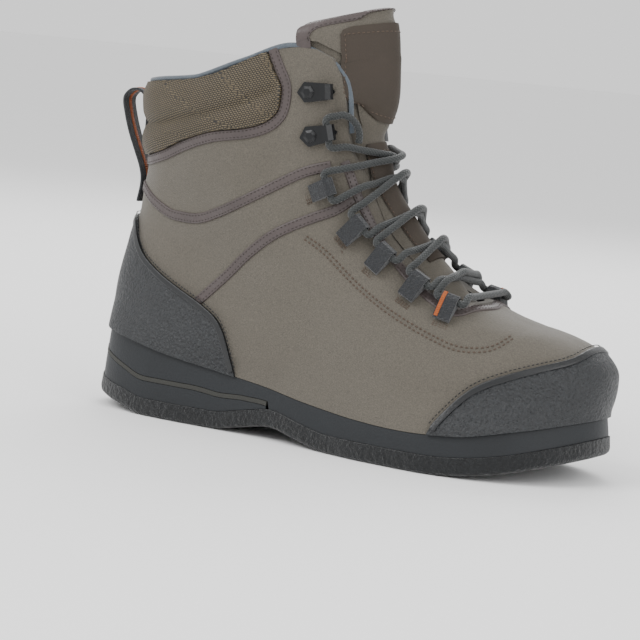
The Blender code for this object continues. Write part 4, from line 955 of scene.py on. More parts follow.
def finished(thing, name, nodes=(), sharp=40):
    """Apply a piece's modifiers, move it into the row's frame and let it ride on the root."""
    bpy.context.view_layer.update()
    deps = bpy.context.evaluated_depsgraph_get()
    mesh = bpy.data.meshes.new_from_object(thing.evaluated_get(deps))
    mesh.transform(Matrix.Translation((-HEEL_REST, 0, 0)) @ thing.matrix_world)
    mesh.shade_smooth()
    mesh.set_sharp_from_angle(angle=math.radians(sharp))
    thing.hide_render = True
    made = bpy.data.objects.new(name, mesh)
    bpy.context.scene.collection.objects.link(made)
    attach(made, "root")
    if nodes:
        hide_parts(*nodes)
    return made


def drop_guides():
    for thing in list(bpy.data.objects):
        if thing.name.startswith("guide_") or thing.get("guide"):
            bpy.data.objects.remove(thing, do_unlink=True)


def tree_of(meshes, shift=0.0):
    points, faces = [], []
    for mesh in meshes:
        start = len(points)
        points += [v.co + Vector((shift, 0, 0)) for v in mesh.vertices]
        faces += [tuple(start + i for i in face.vertices) for face in mesh.polygons]
    return BVHTree.FromPolygons(points, faces)


def cad_tree(names):
    """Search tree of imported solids, in the tables' frame."""
    found = [thing.data for name, thing in frame["nodes"].items() if name.startswith(names)]
    return tree_of(found, HEEL_REST)


# Materials
DEPTH = 0.34


def srgb(red, green, blue):
    """Linear colour of an 8-bit screen colour, deepened for the bright studio light."""
    values = (v / 255 for v in (red, green, blue))
    linear = (v / 12.92 if v <= 0.04045 else ((v + 0.055) / 1.055) ** 2.4 for v in values)
    return tuple(DEPTH * v for v in linear)


class Look:
    """One Principled material, built up with colour and bump layers in the piece's own space."""

    def __init__(self, name, colour, roughness, **sockets):
        self.material = bpy.data.materials.new(name)
        self.material.use_nodes = True
        self.tree = self.material.node_tree
        self.surface = self.tree.nodes["Principled BSDF"]
        self.surface.inputs["Base Color"].default_value = (*colour, 1)
        self.surface.inputs["Roughness"].default_value = roughness
        for socket, value in sockets.items():
            self.surface.inputs[socket.replace("_", " ")].default_value = value
        self.colour = None
        self.normal = None
        self.place = self.node("ShaderNodeTexCoord")

    def node(self, kind, **settings):
        made = self.tree.nodes.new(kind)
        for key, value in settings.items():
            setattr(made, key, value)
        return made

    def wire(self, source, target):
        self.tree.links.new(source, target)

    def where(self, uv=False, scale=(1, 1, 1), turn=(0, 0, 0)):
        mapping = self.node("ShaderNodeMapping")
        mapping.inputs["Scale"].default_value = scale
        mapping.inputs["Rotation"].default_value = turn
        self.wire(self.place.outputs["UV" if uv else "Object"], mapping.inputs["Vector"])
        return mapping.outputs["Vector"]

    def noise(self, scale, detail=3.0, **where):
        made = self.node("ShaderNodeTexNoise")
        made.inputs["Scale"].default_value = scale
        made.inputs["Detail"].default_value = detail
        self.wire(self.where(**where), made.inputs["Vector"])
        return made.outputs["Fac"]

    def cells(self, scale, feature="SMOOTH_F1", **where):
        made = self.node("ShaderNodeTexVoronoi", feature=feature)
        made.inputs["Scale"].default_value = scale
        self.wire(self.where(**where), made.inputs["Vector"])
        return made.outputs["Distance"]

    def waves(self, fineness, direction="X", distortion=0.0, **where):
        made = self.node("ShaderNodeTexWave", bands_direction=direction)
        made.inputs["Scale"].default_value = fineness
        made.inputs["Distortion"].default_value = distortion
        self.wire(self.where(**where), made.inputs["Vector"])
        return made.outputs["Fac"]

    def bricks(self, width, height, mortar, **where):
        made = self.node("ShaderNodeTexBrick", offset=0.5)
        made.inputs["Scale"].default_value = 1.0
        made.inputs["Brick Width"].default_value = width
        made.inputs["Row Height"].default_value = height
        made.inputs["Mortar Size"].default_value = mortar
        made.inputs["Mortar Smooth"].default_value = 0.9
        made.inputs["Color1"].default_value = (1, 1, 1, 1)
        made.inputs["Color2"].default_value = (0.85, 0.85, 0.85, 1)
        made.inputs["Mortar"].default_value = (0, 0, 0, 1)
        self.wire(self.where(**where), made.inputs["Vector"])
        return made.outputs["Color"]

    def ramp(self, fac, low, high):
        made = self.node("ShaderNodeMapRange")
        made.inputs["From Min"].default_value = low
        made.inputs["From Max"].default_value = high
        self.wire(fac, made.inputs["Value"])
        return made.outputs["Result"]

    def tint(self, fac, dark, light):
        """Mix from a dark to a light colour, or multiply what is already there."""
        mix = self.node("ShaderNodeMix", data_type="RGBA")
        self.wire(fac, mix.inputs[0])
        mix.inputs[6].default_value = (*dark, 1)
        mix.inputs[7].default_value = (*light, 1)
        out = mix.outputs[2]
        if self.colour is not None:
            times = self.node("ShaderNodeMix", data_type="RGBA", blend_type="MULTIPLY")
            times.inputs[0].default_value = 1.0
            self.wire(self.colour, times.inputs[6])
            self.wire(out, times.inputs[7])
            out = times.outputs[2]
        self.colour = out
        self.wire(out, self.surface.inputs["Base Color"])
        return self

    def bump(self, height, distance, strength=1.0):
        made = self.node("ShaderNodeBump")
        made.inputs["Strength"].default_value = strength
        made.inputs["Distance"].default_value = distance
        self.wire(height, made.inputs["Height"])
        if self.normal is not None:
            self.wire(self.normal, made.inputs["Normal"])
        self.normal = made.outputs["Normal"]
        self.wire(self.normal, self.surface.inputs["Normal"])
        return self

    def gloss(self, fac, low, high):
        made = self.node("ShaderNodeMapRange")
        made.inputs["To Min"].default_value = low
        made.inputs["To Max"].default_value = high
        self.wire(fac, made.inputs["Value"])
        self.wire(made.outputs["Result"], self.surface.inputs["Roughness"])
        return self


def grey(value):
    return (value, value, value)


def make_looks():
    looks = {}
    canvas = Look("upper_fabric", srgb(140, 132, 118), 0.86, Sheen_Weight=0.15)
    canvas.tint(canvas.noise(9, 4), srgb(131, 123, 109), srgb(151, 143, 129))
    canvas.tint(canvas.ramp(canvas.noise(1500, 2), 0.3, 0.7), grey(0.74), grey(1.16))
    canvas.tint(canvas.waves(620, "DIAGONAL"), grey(0.90), grey(1.05))
    canvas.bump(canvas.noise(900, 3), 0.00022).bump(canvas.waves(620, "DIAGONAL"), 0.00010)
    looks["canvas"] = canvas
    pad = Look("pad_weave", srgb(128, 112, 84), 0.62)
    weave = pad.bricks(1.7, 1.12, 0.34, uv=True, scale=(1000, 1000, 1000))
    pad.tint(weave, srgb(46, 40, 33), srgb(166, 148, 114))
    pad.tint(pad.noise(30, 3), grey(0.82), grey(1.12))
    pad.bump(weave, 0.0006)
    looks["pad"] = pad
    trim = Look("trim", srgb(110, 96, 94), 0.46, Specular_IOR_Level=0.45)
    trim.tint(trim.noise(60, 4), srgb(96, 84, 82), srgb(122, 107, 105))
    trim.bump(trim.noise(500, 3), 0.00030).bump(trim.noise(120, 2), 0.0006)
    looks["trim"] = trim
    pebble = Look("pebbled_rubber", srgb(45, 50, 55), 0.42, Specular_IOR_Level=0.5)
    grain = pebble.cells(640)
    pebble.tint(pebble.ramp(pebble.noise(700, 3), 0.35, 0.7), srgb(36, 39, 43), srgb(52, 57, 62))
    pebble.bump(grain, 0.0010).bump(pebble.noise(1300, 3), 0.0005)
    pebble.gloss(pebble.noise(420, 2), 0.34, 0.62)
    looks["pebble"] = pebble
    edge = Look("pebbled_rubber_edge", srgb(26, 29, 32), 0.36, Specular_IOR_Level=0.5)
    edge.tint(edge.noise(90, 3), srgb(20, 23, 26), srgb(38, 42, 46))
    edge.bump(edge.noise(700, 3), 0.00025)
    looks["edge"] = edge
    piping = Look("piping", srgb(130, 145, 160), 0.60, Sheen_Weight=0.2)
    piping.tint(piping.noise(400, 3), srgb(108, 123, 139), srgb(152, 167, 181))
    piping.bump(piping.waves(640, "DIAGONAL"), 0.00025)
    looks["piping"] = piping
    leather = Look("leather", srgb(88, 76, 64), 0.66, Specular_IOR_Level=0.35)
    leather.tint(leather.noise(40, 5), srgb(79, 68, 56), srgb(97, 84, 71))
    leather.bump(leather.noise(1100, 4), 0.00022).bump(leather.noise(90, 2), 0.0004)
    looks["leather"] = leather
    webbing = Look("webbing", srgb(40, 46, 54), 0.88, Sheen_Weight=0.25)
    webbing.tint(webbing.ramp(webbing.noise(950, 3), 0.35, 0.68), srgb(32, 35, 40), srgb(56, 61, 68))
    webbing.bump(webbing.noise(900, 3), 0.0006).bump(webbing.waves(520, "Z"), 0.0002)
    looks["webbing"] = webbing
    lace = Look("lace_cord", srgb(58, 64, 64), 0.72, Sheen_Weight=0.2)
    plait = lace.waves(1.0, "DIAGONAL", uv=True, scale=(3.770, 330, 1))
    back = lace.waves(1.0, "DIAGONAL", uv=True, scale=(-3.770, 330, 1))
    lace.tint(plait, grey(0.80), grey(1.05)).tint(back, srgb(50, 55, 55), srgb(70, 76, 76))
    lace.bump(plait, 0.00018).bump(back, 0.00018)
    looks["lace"] = lace
    orange = Look("orange_thread", srgb(250, 122, 40), 0.7)
    orange.tint(orange.noise(700, 3), srgb(226, 102, 28), srgb(255, 140, 58))
    orange.bump(orange.waves(300, "Z"), 0.0003)
    looks["orange"] = orange
    metal = Look("black_metal", srgb(24, 26, 29), 0.28, Metallic=0.35, Specular_IOR_Level=0.6)
    metal.tint(metal.noise(60, 3), srgb(19, 21, 24), srgb(34, 37, 41))
    metal.bump(metal.noise(500, 2), 0.00006)
    looks["metal"] = metal
    rubber = Look("midsole_rubber", srgb(38, 43, 48), 0.56, Specular_IOR_Level=0.4)
    rubber.tint(rubber.noise(28, 5), srgb(31, 36, 41), srgb(48, 54, 60))
    rubber.tint(rubber.ramp(rubber.noise(1600, 2), 0.3, 0.7), grey(0.82), grey(1.1))
    rubber.bump(rubber.noise(800, 3), 0.00022)
    looks["rubber"] = rubber
    stripe = Look("olive_foam", srgb(72, 72, 66), 0.74)
    stripe.tint(stripe.noise(1200, 3), srgb(60, 60, 54), srgb(84, 84, 77))
    stripe.bump(stripe.noise(900, 2), 0.0002)
    looks["stripe"] = stripe
    felt = Look("felt", srgb(35, 38, 40), 0.97, Sheen_Weight=0.2)
    felt.tint(felt.ramp(felt.noise(620, 5), 0.32, 0.68), srgb(26, 28, 30), srgb(46, 49, 52))
    felt.bump(felt.noise(420, 6), 0.0016).bump(felt.noise(1600, 2), 0.0004)
    looks["felt"] = felt
    lining = Look("insole_foam", srgb(62, 63, 65), 0.92, Sheen_Weight=0.2)
    lining.tint(lining.cells(900, "F1"), srgb(40, 41, 43), srgb(74, 75, 78))
    lining.bump(lining.cells(900, "F1"), 0.0004)
    looks["lining"] = lining
    for name, colour in (("thread_tan", (122, 100, 82)), ("thread_brown", (76, 62, 56)),
                         ("thread_black", (22, 24, 27)), ("thread_olive", (104, 92, 76))):
        thread = Look(name, srgb(*colour), 0.6)
        thread.tint(thread.noise(1500, 2), grey(0.75), grey(1.2))
        looks[name] = thread
        mixed = thread.colour.node
        mixed.inputs[6].default_value = (*(v * 0.75 for v in srgb(*colour)), 1)
        mixed.inputs[7].default_value = (*(min(1, v * 1.2) for v in srgb(*colour)), 1)
    return {name: look.material for name, look in looks.items()}


# Small tools for what is sewn or swept along the surface
def dense(path, step):
    """Evenly spaced points on a soft curve through the path's points."""
    path = np.asarray(path, float)
    run = np.concatenate([[0], np.cumsum(np.linalg.norm(np.diff(path, axis=0), axis=1))])
    return round_curve(path, run, max(4, int(run[-1] / step)))


def relaxed(path, rounds=6):
    path = np.array(path)
    for _ in range(rounds):
        path[1:-1] = path[1:-1] / 2 + (path[:-2] + path[2:]) / 4
    return path


def snap(tree, point):
    spot, normal, _, _ = tree.find_nearest(Vector(point))
    return np.array(spot), np.array(normal)


def side_hits(tree, edge, side):
    """Places on the surface at side-view points, on one side of the boot."""
    found = []
    for x, z in edge:
        hit = tree.ray_cast(Vector((x, side * REACH, z)), Vector((0, -side, 0)), REACH)
        if hit[0]:
            found.append(np.array(hit[0]))
    return found


def round_back(tree, table, offset=0.0, turn=0.058, step=0.002):
    """A side-view line laid on the surface from the outer side round the back to the inner."""
    edge = line(table, 500, offset)
    start = int(np.argmax(edge[:, 0] > turn))
    back = edge[:start]
    arc = []
    for angle in np.radians(np.arange(-86, 87, 4)):
        way = np.array([-math.cos(angle), math.sin(angle), 0.0])
        z = float(np.interp(0.02, back[:, 0], back[:, 1]))
        for _ in range(5):
            origin = Vector((turn, 0, z)) + Vector(way) * REACH
            hit = tree.ray_cast(origin, Vector(-way), REACH)
            z = float(np.interp(hit[0][0], back[:, 0], back[:, 1]))
        arc.append(np.array(hit[0]))
    halves = [side_hits(tree, edge[start:], side) for side in (-1, 1)]
    path = dense([*halves[0][::-8], *arc, *halves[1][::8]], step)
    return relaxed(path, 4)


def frames_on(tree, path):
    """Path put back on the surface, its way ahead, the surface's normal and the way across."""
    spots, normals = zip(*(snap(tree, p) for p in path))
    spots, normals = np.array(spots), relaxed(np.array(normals), 3)
    normals /= np.linalg.norm(normals, axis=1, keepdims=True)
    ahead = np.gradient(relaxed(spots, 2), axis=0)
    ahead -= normals * np.sum(ahead * normals, axis=1)[:, None]
    ahead /= np.linalg.norm(ahead, axis=1, keepdims=True)
    return spots, ahead, normals, np.cross(normals, ahead)


def beside(tree, path, offset, height=0.0):
    spots, _, _, across = frames_on(tree, path)
    moved = [snap(tree, p) for p in spots + across * offset]
    return np.array([spot + normal * height for spot, normal in moved])


BAND = ((-1, -0.5), (-0.99, 0.35), (-0.93, 0.78), (-0.80, 0.97), (-0.5, 1.0), (0, 0.97),
        (0.5, 1.0), (0.80, 0.97), (0.93, 0.78), (0.99, 0.35), (1, -0.5))


def strip(name, tree, path, width, height, look, nodes=(), lift_by=0.0):
    """A band with rolled edges laid along a path on the surface."""
    spots, _, _, across = frames_on(tree, path)
    points = []
    for spot, aside in zip(spots, across):
        for share, rise in BAND:
            base, normal = snap(tree, spot + aside * share * width / 2)
            points.append(base + normal * (lift_by + rise * height))
    count = len(BAND)
    faces = [
        (a * count + i, a * count + i + 1, (a + 1) * count + i + 1, (a + 1) * count + i)
        for a in range(len(spots) - 1) for i in range(count - 1)
    ]
    faces += [tuple(range(count)), tuple(range((len(spots) - 1) * count, len(spots) * count))]
    thing = add_object("guide_" + name, mesh_from(name, points, faces, 60), look)
    return finished(thing, name, nodes, 60)


class Stitches:
    """All stitches of one thread colour, gathered into one mesh."""

    def __init__(self, name, look, slot):
        self.name, self.look, self.slot = name, look, slot
        self.points, self.faces = [], []

    def one(self, centre, ahead, normal, half, radius):
        across = np.cross(normal, ahead)
        start = len(self.points)
        self.points.append(centre - ahead * half - normal * radius)
        for share, size in ((-0.62, 0.85), (0.0, 1.0), (0.62, 0.85)):
            for a, b in ((1, 0), (0, 1.15), (-1, 0), (0, -1)):
                self.points.append(centre + ahead * half * share
                                   + (across * a + normal * b) * radius * size)
        self.points.append(centre + ahead * half - normal * radius)
        for i in range(4):
            k = (i + 1) % 4
            self.faces.append((start, start + 1 + i, start + 1 + k))
            for level in (1, 5):
                self.faces.append((start + level + i, start + level + 4 + i,
                                   start + level + 4 + k, start + level + k))
            self.faces.append((start + 13, start + 9 + k, start + 9 + i))

    def row(self, tree, path, pitch=0.0026, share=0.74, radius=0.00034, height=0.0, keep=None):
        path = dense(path, pitch)
        spots, ahead, normals, _ = frames_on(tree, path)
        for spot, way, normal in zip(spots[1:-1], ahead[1:-1], normals[1:-1]):
            if keep is None or keep(spot):
                self.one(spot + normal * height, way, normal, pitch * share / 2, radius)

    def done(self):
        mesh = mesh_from(self.name, self.points, self.faces, 80)
        thing = add_object("guide_" + self.name, mesh, self.look)
        return finished(thing, self.name, (), 80)


def round_tube(name, path, radius, sides, look, closed_ends=True):
    """Smooth round cord with its plait laid out in a UV map, in turns and metres."""
    path = np.asarray(path, float)
    tangent = np.gradient(path, axis=0)
    tangent /= np.linalg.norm(tangent, axis=1, keepdims=True)
    run = np.concatenate([[0], np.cumsum(np.linalg.norm(np.diff(path, axis=0), axis=1))])
    side = np.cross(tangent[0], [0.3, 0.5, 0.8])
    points, faces = [], []
    for centre, ahead in zip(path, tangent):
        side = side - ahead * side.dot(ahead)
        side /= np.linalg.norm(side)
        other = np.cross(ahead, side)
        for i in range(sides):
            angle = 2 * math.pi * i / sides
            points.append(centre + radius * (math.cos(angle) * side + math.sin(angle) * other))
    for level in range(len(path) - 1):
        for i in range(sides):
            k = (i + 1) % sides
            low, high = level * sides, (level + 1) * sides
            faces.append((low + i, low + k, high + k, high + i))
    uvs = [(turn / sides, run[row]) for level in range(len(path) - 1) for i in range(sides)
           for turn, row in ((i, level), (i + 1, level), (i + 1, level + 1), (i, level + 1))]
    if closed_ends:
        faces += [tuple(range(sides))[::-1], tuple(range(len(points) - sides, len(points)))]
        uvs += [(0, 0)] * (2 * sides)
    mesh = bpy.data.meshes.new(name)
    mesh.from_pydata([tuple(map(float, p)) for p in points], [], faces)
    layer = mesh.uv_layers.new(name="UVMap")
    layer.uv.foreach_set("vector", np.array(uvs, np.float32).ravel())
    mesh.shade_smooth()
    return add_object("guide_" + name, mesh, look)


def solid_cut(name, outline, outer, others, look, low_y=-REACH, high_y=REACH):
    piece = prism("guide_" + name, outline, low_y, high_y, look)
    boolean(piece, "INTERSECT", outer)
    return boolean(piece, "DIFFERENCE", *others)


def with_bevel(thing, width, segments=2, angle=35):
    change = thing.modifiers.new("edge", "BEVEL")
    change.width = width
    change.segments = segments
    change.limit_method = "ANGLE"
    change.angle_limit = math.radians(angle)
    return thing


def make_sole_looks(looks):
    """Felt, wedge, stripe and midsole with rounded edges."""
    far = np.linspace(-0.1, 1.1, 260) * SOLE_LENGTH
    felt = stack("guide_felt_block", [
        sole_ring(lambda x: underside(x) + 0.0001, -2.2 * FELT_ROUND),
        sole_ring(lambda x: underside(x) + 0.22 * FELT_ROUND, -FELT_ROUND),
        sole_ring(lambda x: underside(x) + 0.9 * FELT_ROUND, -0.2 * FELT_ROUND),
        sole_ring(lambda x: underside(x) + 2.0 * FELT_ROUND, 0.0),
        sole_ring(lambda x: underside(x) + 1.5 * FELT, -FLARE * 0.4),
    ], looks["felt"], split=False)
    above = between(felt_top, lambda x: 0 * x + ABOVE, far)
    boolean(felt, "DIFFERENCE", prism("guide_felt_top", above, -REACH, REACH))
    finished(felt, "felt_sole", ["felt_outsole"])

    def layer(name, low, high, end, look, slot, node, swell=0.0):
        def side(share):
            return lambda x: (underside(x) + FELT / 2) * (1 - share) + (feather(x) + 0.004) * share
        grow = [(0.0, -FLARE * 0.15 - FELT_LIP), (0.35, -FLARE * 0.40 - FELT_LIP + swell),
                (0.70, -FLARE * 0.75 - FELT_LIP + swell), (0.87, -FLARE - FELT_LIP / 2),
                (1.0, -FLARE * 1.25 - FELT_LIP)]
        block = stack("guide_" + name, [sole_ring(side(s), g) for s, g in grow], look, split=False)
        x = np.linspace(-0.1, end, 240) * SOLE_LENGTH
        boolean(block, "INTERSECT", prism("guide_cut_" + name, between(low, high, x), -REACH, REACH))
        finished(block, name, [node])

    layer("sole_wedge", lambda x: felt_top(x) + GAP, lambda x: stripe_low(x) - GAP, STRIPE_END,
          looks["rubber"], "midsole_rubber", "heel_wedge")
    layer("sole_stripe", stripe_low, stripe_top, STRIPE_END, looks["stripe"], "olive_foam",
          "wedge_stripe", 0.0002)
    layer("sole_midsole", midsole_low, feather, 1.1, looks["rubber"], "midsole_rubber", "midsole")


def make_body(looks):
    """Upper with its lining, toe cap, counter and the padded collar."""
    inside = stack("guide_inside", form_rings(-WALL, 0.009, 0.010), looks["lining"])
    seat = stack("guide_seat", form_rings(0.0001, 0.007, 0.004))
    rubber = stack("guide_rubber", form_rings(GAP + RUBBER, 0.006, 0.003))
    far = np.linspace(-0.1, 1.1, 260) * SOLE_LENGTH
    below = prism("guide_sole", between(lambda x: 0 * x - 0.04, lambda x: feather(x) + GAP, far),
                  -REACH, REACH)
    edge = edge_cutter("guide_edge", 0.0)

    upper = stack("guide_upper", form_rings(0.0, 0.005, 0.0), looks["canvas"])
    boolean(upper, "DIFFERENCE", inside, below, edge)
    upper.modifiers[0].material_mode = "TRANSFER"
    finished(upper, "upper_shell", ["upper"])

    toe = [*line(TOE_CAP_LINE, 90), (BEYOND, -0.02), (BEYOND, ABOVE / 2)]
    finished(solid_cut("toe", toe, rubber, [seat, below], looks["pebble"]), "toe_rubber",
             ["toe_cap"])
    counter = [*line(COUNTER_LINE, 90), (-0.03, -0.02)]
    finished(solid_cut("counter", counter, rubber, [seat, below], looks["pebble"]), "counter_rubber",
             ["heel_counter"])

    grid, normal = last_grid(np.linspace(6.6, len(LAST) - 1, 70))
    edges = [line(PAD_LINE, 160), line(PAD_CREASE, 160), line(COLLAR_LINE, 160)]
    rings = []
    for ring, outward in zip(grid, normal):
        near = [nearest(ring[:, [0, 2]], edge) for edge in edges]
        puff = np.sin(np.clip(np.min(near, axis=0) / (PUFF_REACH * 1.05), 0, 1) * math.pi / 2)
        low = 1 - 0.35 * np.exp(-(near[1] / 0.0012) ** 2)
        thick = GAP + (PAD_EDGE + (PAD * 1.25 - PAD_EDGE) * puff) * low
        rings.append(ring + outward * thick[:, None])
    outside = stack("guide_pad_form", rings)
    outline = [*line(PAD_LINE, 90), (-0.03, ABOVE)]
    pad = solid_cut("pad", outline, outside, [seat, edge], looks["pad"])
    pad = finished(pad, "collar_padding", ["collar_pad"])
    weave_map(pad.data)

    far = np.linspace(-0.1, 1.1, 120) * SOLE_LENGTH
    outline = between(lambda x: feather(x) + GAP, lambda x: feather(x) + GAP + INSOLE, far)
    insole = prism("guide_insole", outline, -REACH, REACH, looks["lining"])
    boolean(insole, "INTERSECT", stack("guide_lining", form_rings(-WALL - GAP, 0.009, 0.010)))
    finished(insole, "footbed", ["insole"])


def weave_map(mesh):
    """UV map of a piece on the collar: metres round the boot from the back, and metres up."""
    ring = last_ring(9.0)
    step = np.linalg.norm(np.diff(ring, axis=0, append=ring[:1]), axis=1)
    run = np.concatenate([[0], np.cumsum(step)[:-1]])
    run = np.where(np.arange(len(ring)) > ROUND // 2, run - step.sum(), run)
    count = len(mesh.vertices)
    spots = np.empty(count * 3, np.float32)
    mesh.vertices.foreach_get("co", spots)
    spots = spots.reshape(-1, 3) + np.array([HEEL_REST, 0, 0])
    apart = np.hypot(spots[:, None, 0] - ring[None, :, 0], spots[:, None, 1] - ring[None, :, 1])
    order = np.argsort(apart, axis=1)[:, :2]
    near = np.take_along_axis(apart, order, 1)
    weight = near[:, 1] / np.maximum(near.sum(1), 1e-9)
    u = run[order[:, 0]] * weight + run[order[:, 1]] * (1 - weight)
    v = spots[:, 2] - 0.30 * np.abs(u)
    index = np.empty(len(mesh.loops), np.int32)
    mesh.loops.foreach_get("vertex_index", index)
    layer = mesh.uv_layers.new(name="UVMap") if not mesh.uv_layers else mesh.uv_layers[0]
    layer.uv.foreach_set("vector", np.stack([u, v], 1)[index].astype(np.float32).ravel())


def make_tongue_looks(looks):
    """Padded tongue with its bound top, folded at the ankle, and its two stitched patches."""
    levels = np.linspace(0, len(TONGUE) - 1, 46)

    def soft(v):
        return 0.0004 * math.sin(3.1 * v)

    room = stack("guide_room", form_rings(0.008, 0.0, 0.012))
    boolean(room, "DIFFERENCE", stack("guide_room_inside", form_rings(-WALL - 0.0004, 0.009, 0.020)))
    share = np.linspace(0, 1, EDGE_POINTS)
    rim_gap = 2 * PIPING_RADIUS + PIPING_CLEAR + 2 * GAP
    end = length(COLLAR_LINE) / length(EDGE_LINE)
    offset = rim_gap + (GAP - rim_gap) * ease(end + 0.01, end + 0.07, share)
    boolean(room, "DIFFERENCE", edge_cutter("guide_room_edge", offset))

    def sheet(name, levels, spread, top, bottom, look):
        steps = np.linspace(0, 0.97, 15)[1:]
        rings = []
        for v in levels:
            side = spread(v)
            inner = [-u * side for u in steps[::-1]] + [0, *(u * side for u in steps)]
            middle = (top(v) + bottom(v)) / 2
            upper = [tongue_point(v, u, top(v) - (top(v) - middle) * (abs(u) / side) ** 8) for u in inner]
            lower = [tongue_point(v, u, bottom(v)) for u in inner[::-1]]
            tips = [tongue_point(v, u, middle) for u in (-side, side)]
            rings.append(np.array([tips[0], *upper, tips[1], *lower]))
        return stack("guide_" + name, rings, look)

    tongue = sheet("tongue_form", levels, lambda v: 1.0, soft,
                   lambda v: -tongue_row(v)[4] * TONGUE_THICK, looks["canvas"])
    boolean(tongue, "DIFFERENCE", room)
    tongue = finished(tongue, "tongue_padding", ["tongue"])

    threads = Stitches("patch_stitches", looks["thread_tan"], "leather")
    for name, start, end, low_reach, reach in PATCHES:
        def spread(v, start=start, low_reach=low_reach, reach=reach, end=end):
            side = low_reach + (reach - low_reach) * float(ease(start, start + 1.5, v))
            low = 1 - 0.35 * max(0.0, 1 - (v - start) / 0.35) ** 2 if start > 8 else 1.0
            high = 1 - 0.16 * max(0.0, 1 - (end - v) / 0.35) ** 2
            return side * low * high
        rows = np.linspace(start, end, 24)
        patch = sheet(name + "_form", rows, spread, lambda v: soft(v) + 2 * GAP + PATCH,
                      lambda v: soft(v) - 0.0004, looks["leather"])
        if start < 8:
            boolean(patch, "DIFFERENCE", room)
        patch = finished(patch, name + "_leather", [name])
        height = 2 * GAP + PATCH + 0.0001
        inset = 0.94
        rim = [tongue_point(v, -spread(v) * inset, soft(v) + height) for v in rows[2:-2]]
        rim += [tongue_point(rows[-3], u * spread(rows[-3]) * inset, soft(rows[-3]) + height)
                for u in np.linspace(-0.95, 0.95, 14)]
        rim += [tongue_point(v, spread(v) * inset, soft(v) + height) for v in rows[2:-2][::-1]]
        if start > 8:
            rim += [tongue_point(rows[2], u * spread(rows[2]) * inset, soft(rows[2]) + height)
                    for u in np.linspace(0.95, -0.95, 14)]
        path = dense(rim, 0.0027)
        ahead = np.gradient(path, axis=0)
        ahead /= np.linalg.norm(ahead, axis=1, keepdims=True)
        spots = tree_of([patch.data], HEEL_REST)
        for spot, way in zip(path[1:-1], ahead[1:-1]):
            base, normal = snap(spots, spot)
            if np.linalg.norm(base - spot) < 0.0015:
                threads.one(base + normal * 0.0001, way, normal, 0.0010, 0.00032)
    threads.done()

    def binding(v):
        return [tongue_point(v, u, soft(v)) for u in (-0.97, 0.97)]

    side_rows = np.linspace(10.4, 14.6, 26)
    outer = [binding(v)[0] for v in side_rows]
    inner = [binding(v)[1] for v in side_rows]
    over = [tongue_point(14.9, u, 0.0) for u in np.linspace(-0.9, 0.9, 30)]
    surface = tree_of([tongue.data], HEEL_REST)
    rim = relaxed(dense([*outer, *over, *inner[::-1]], 0.002), 8)
    strip("tongue_binding", surface, beside(surface, rim, 0.0), 0.0085, 0.0009, looks["trim"])
    rows = Stitches("binding_stitches", looks["thread_brown"], "trim")
    rows.row(surface, beside(surface, rim, -0.0034), height=0.0009)
    rows.done()


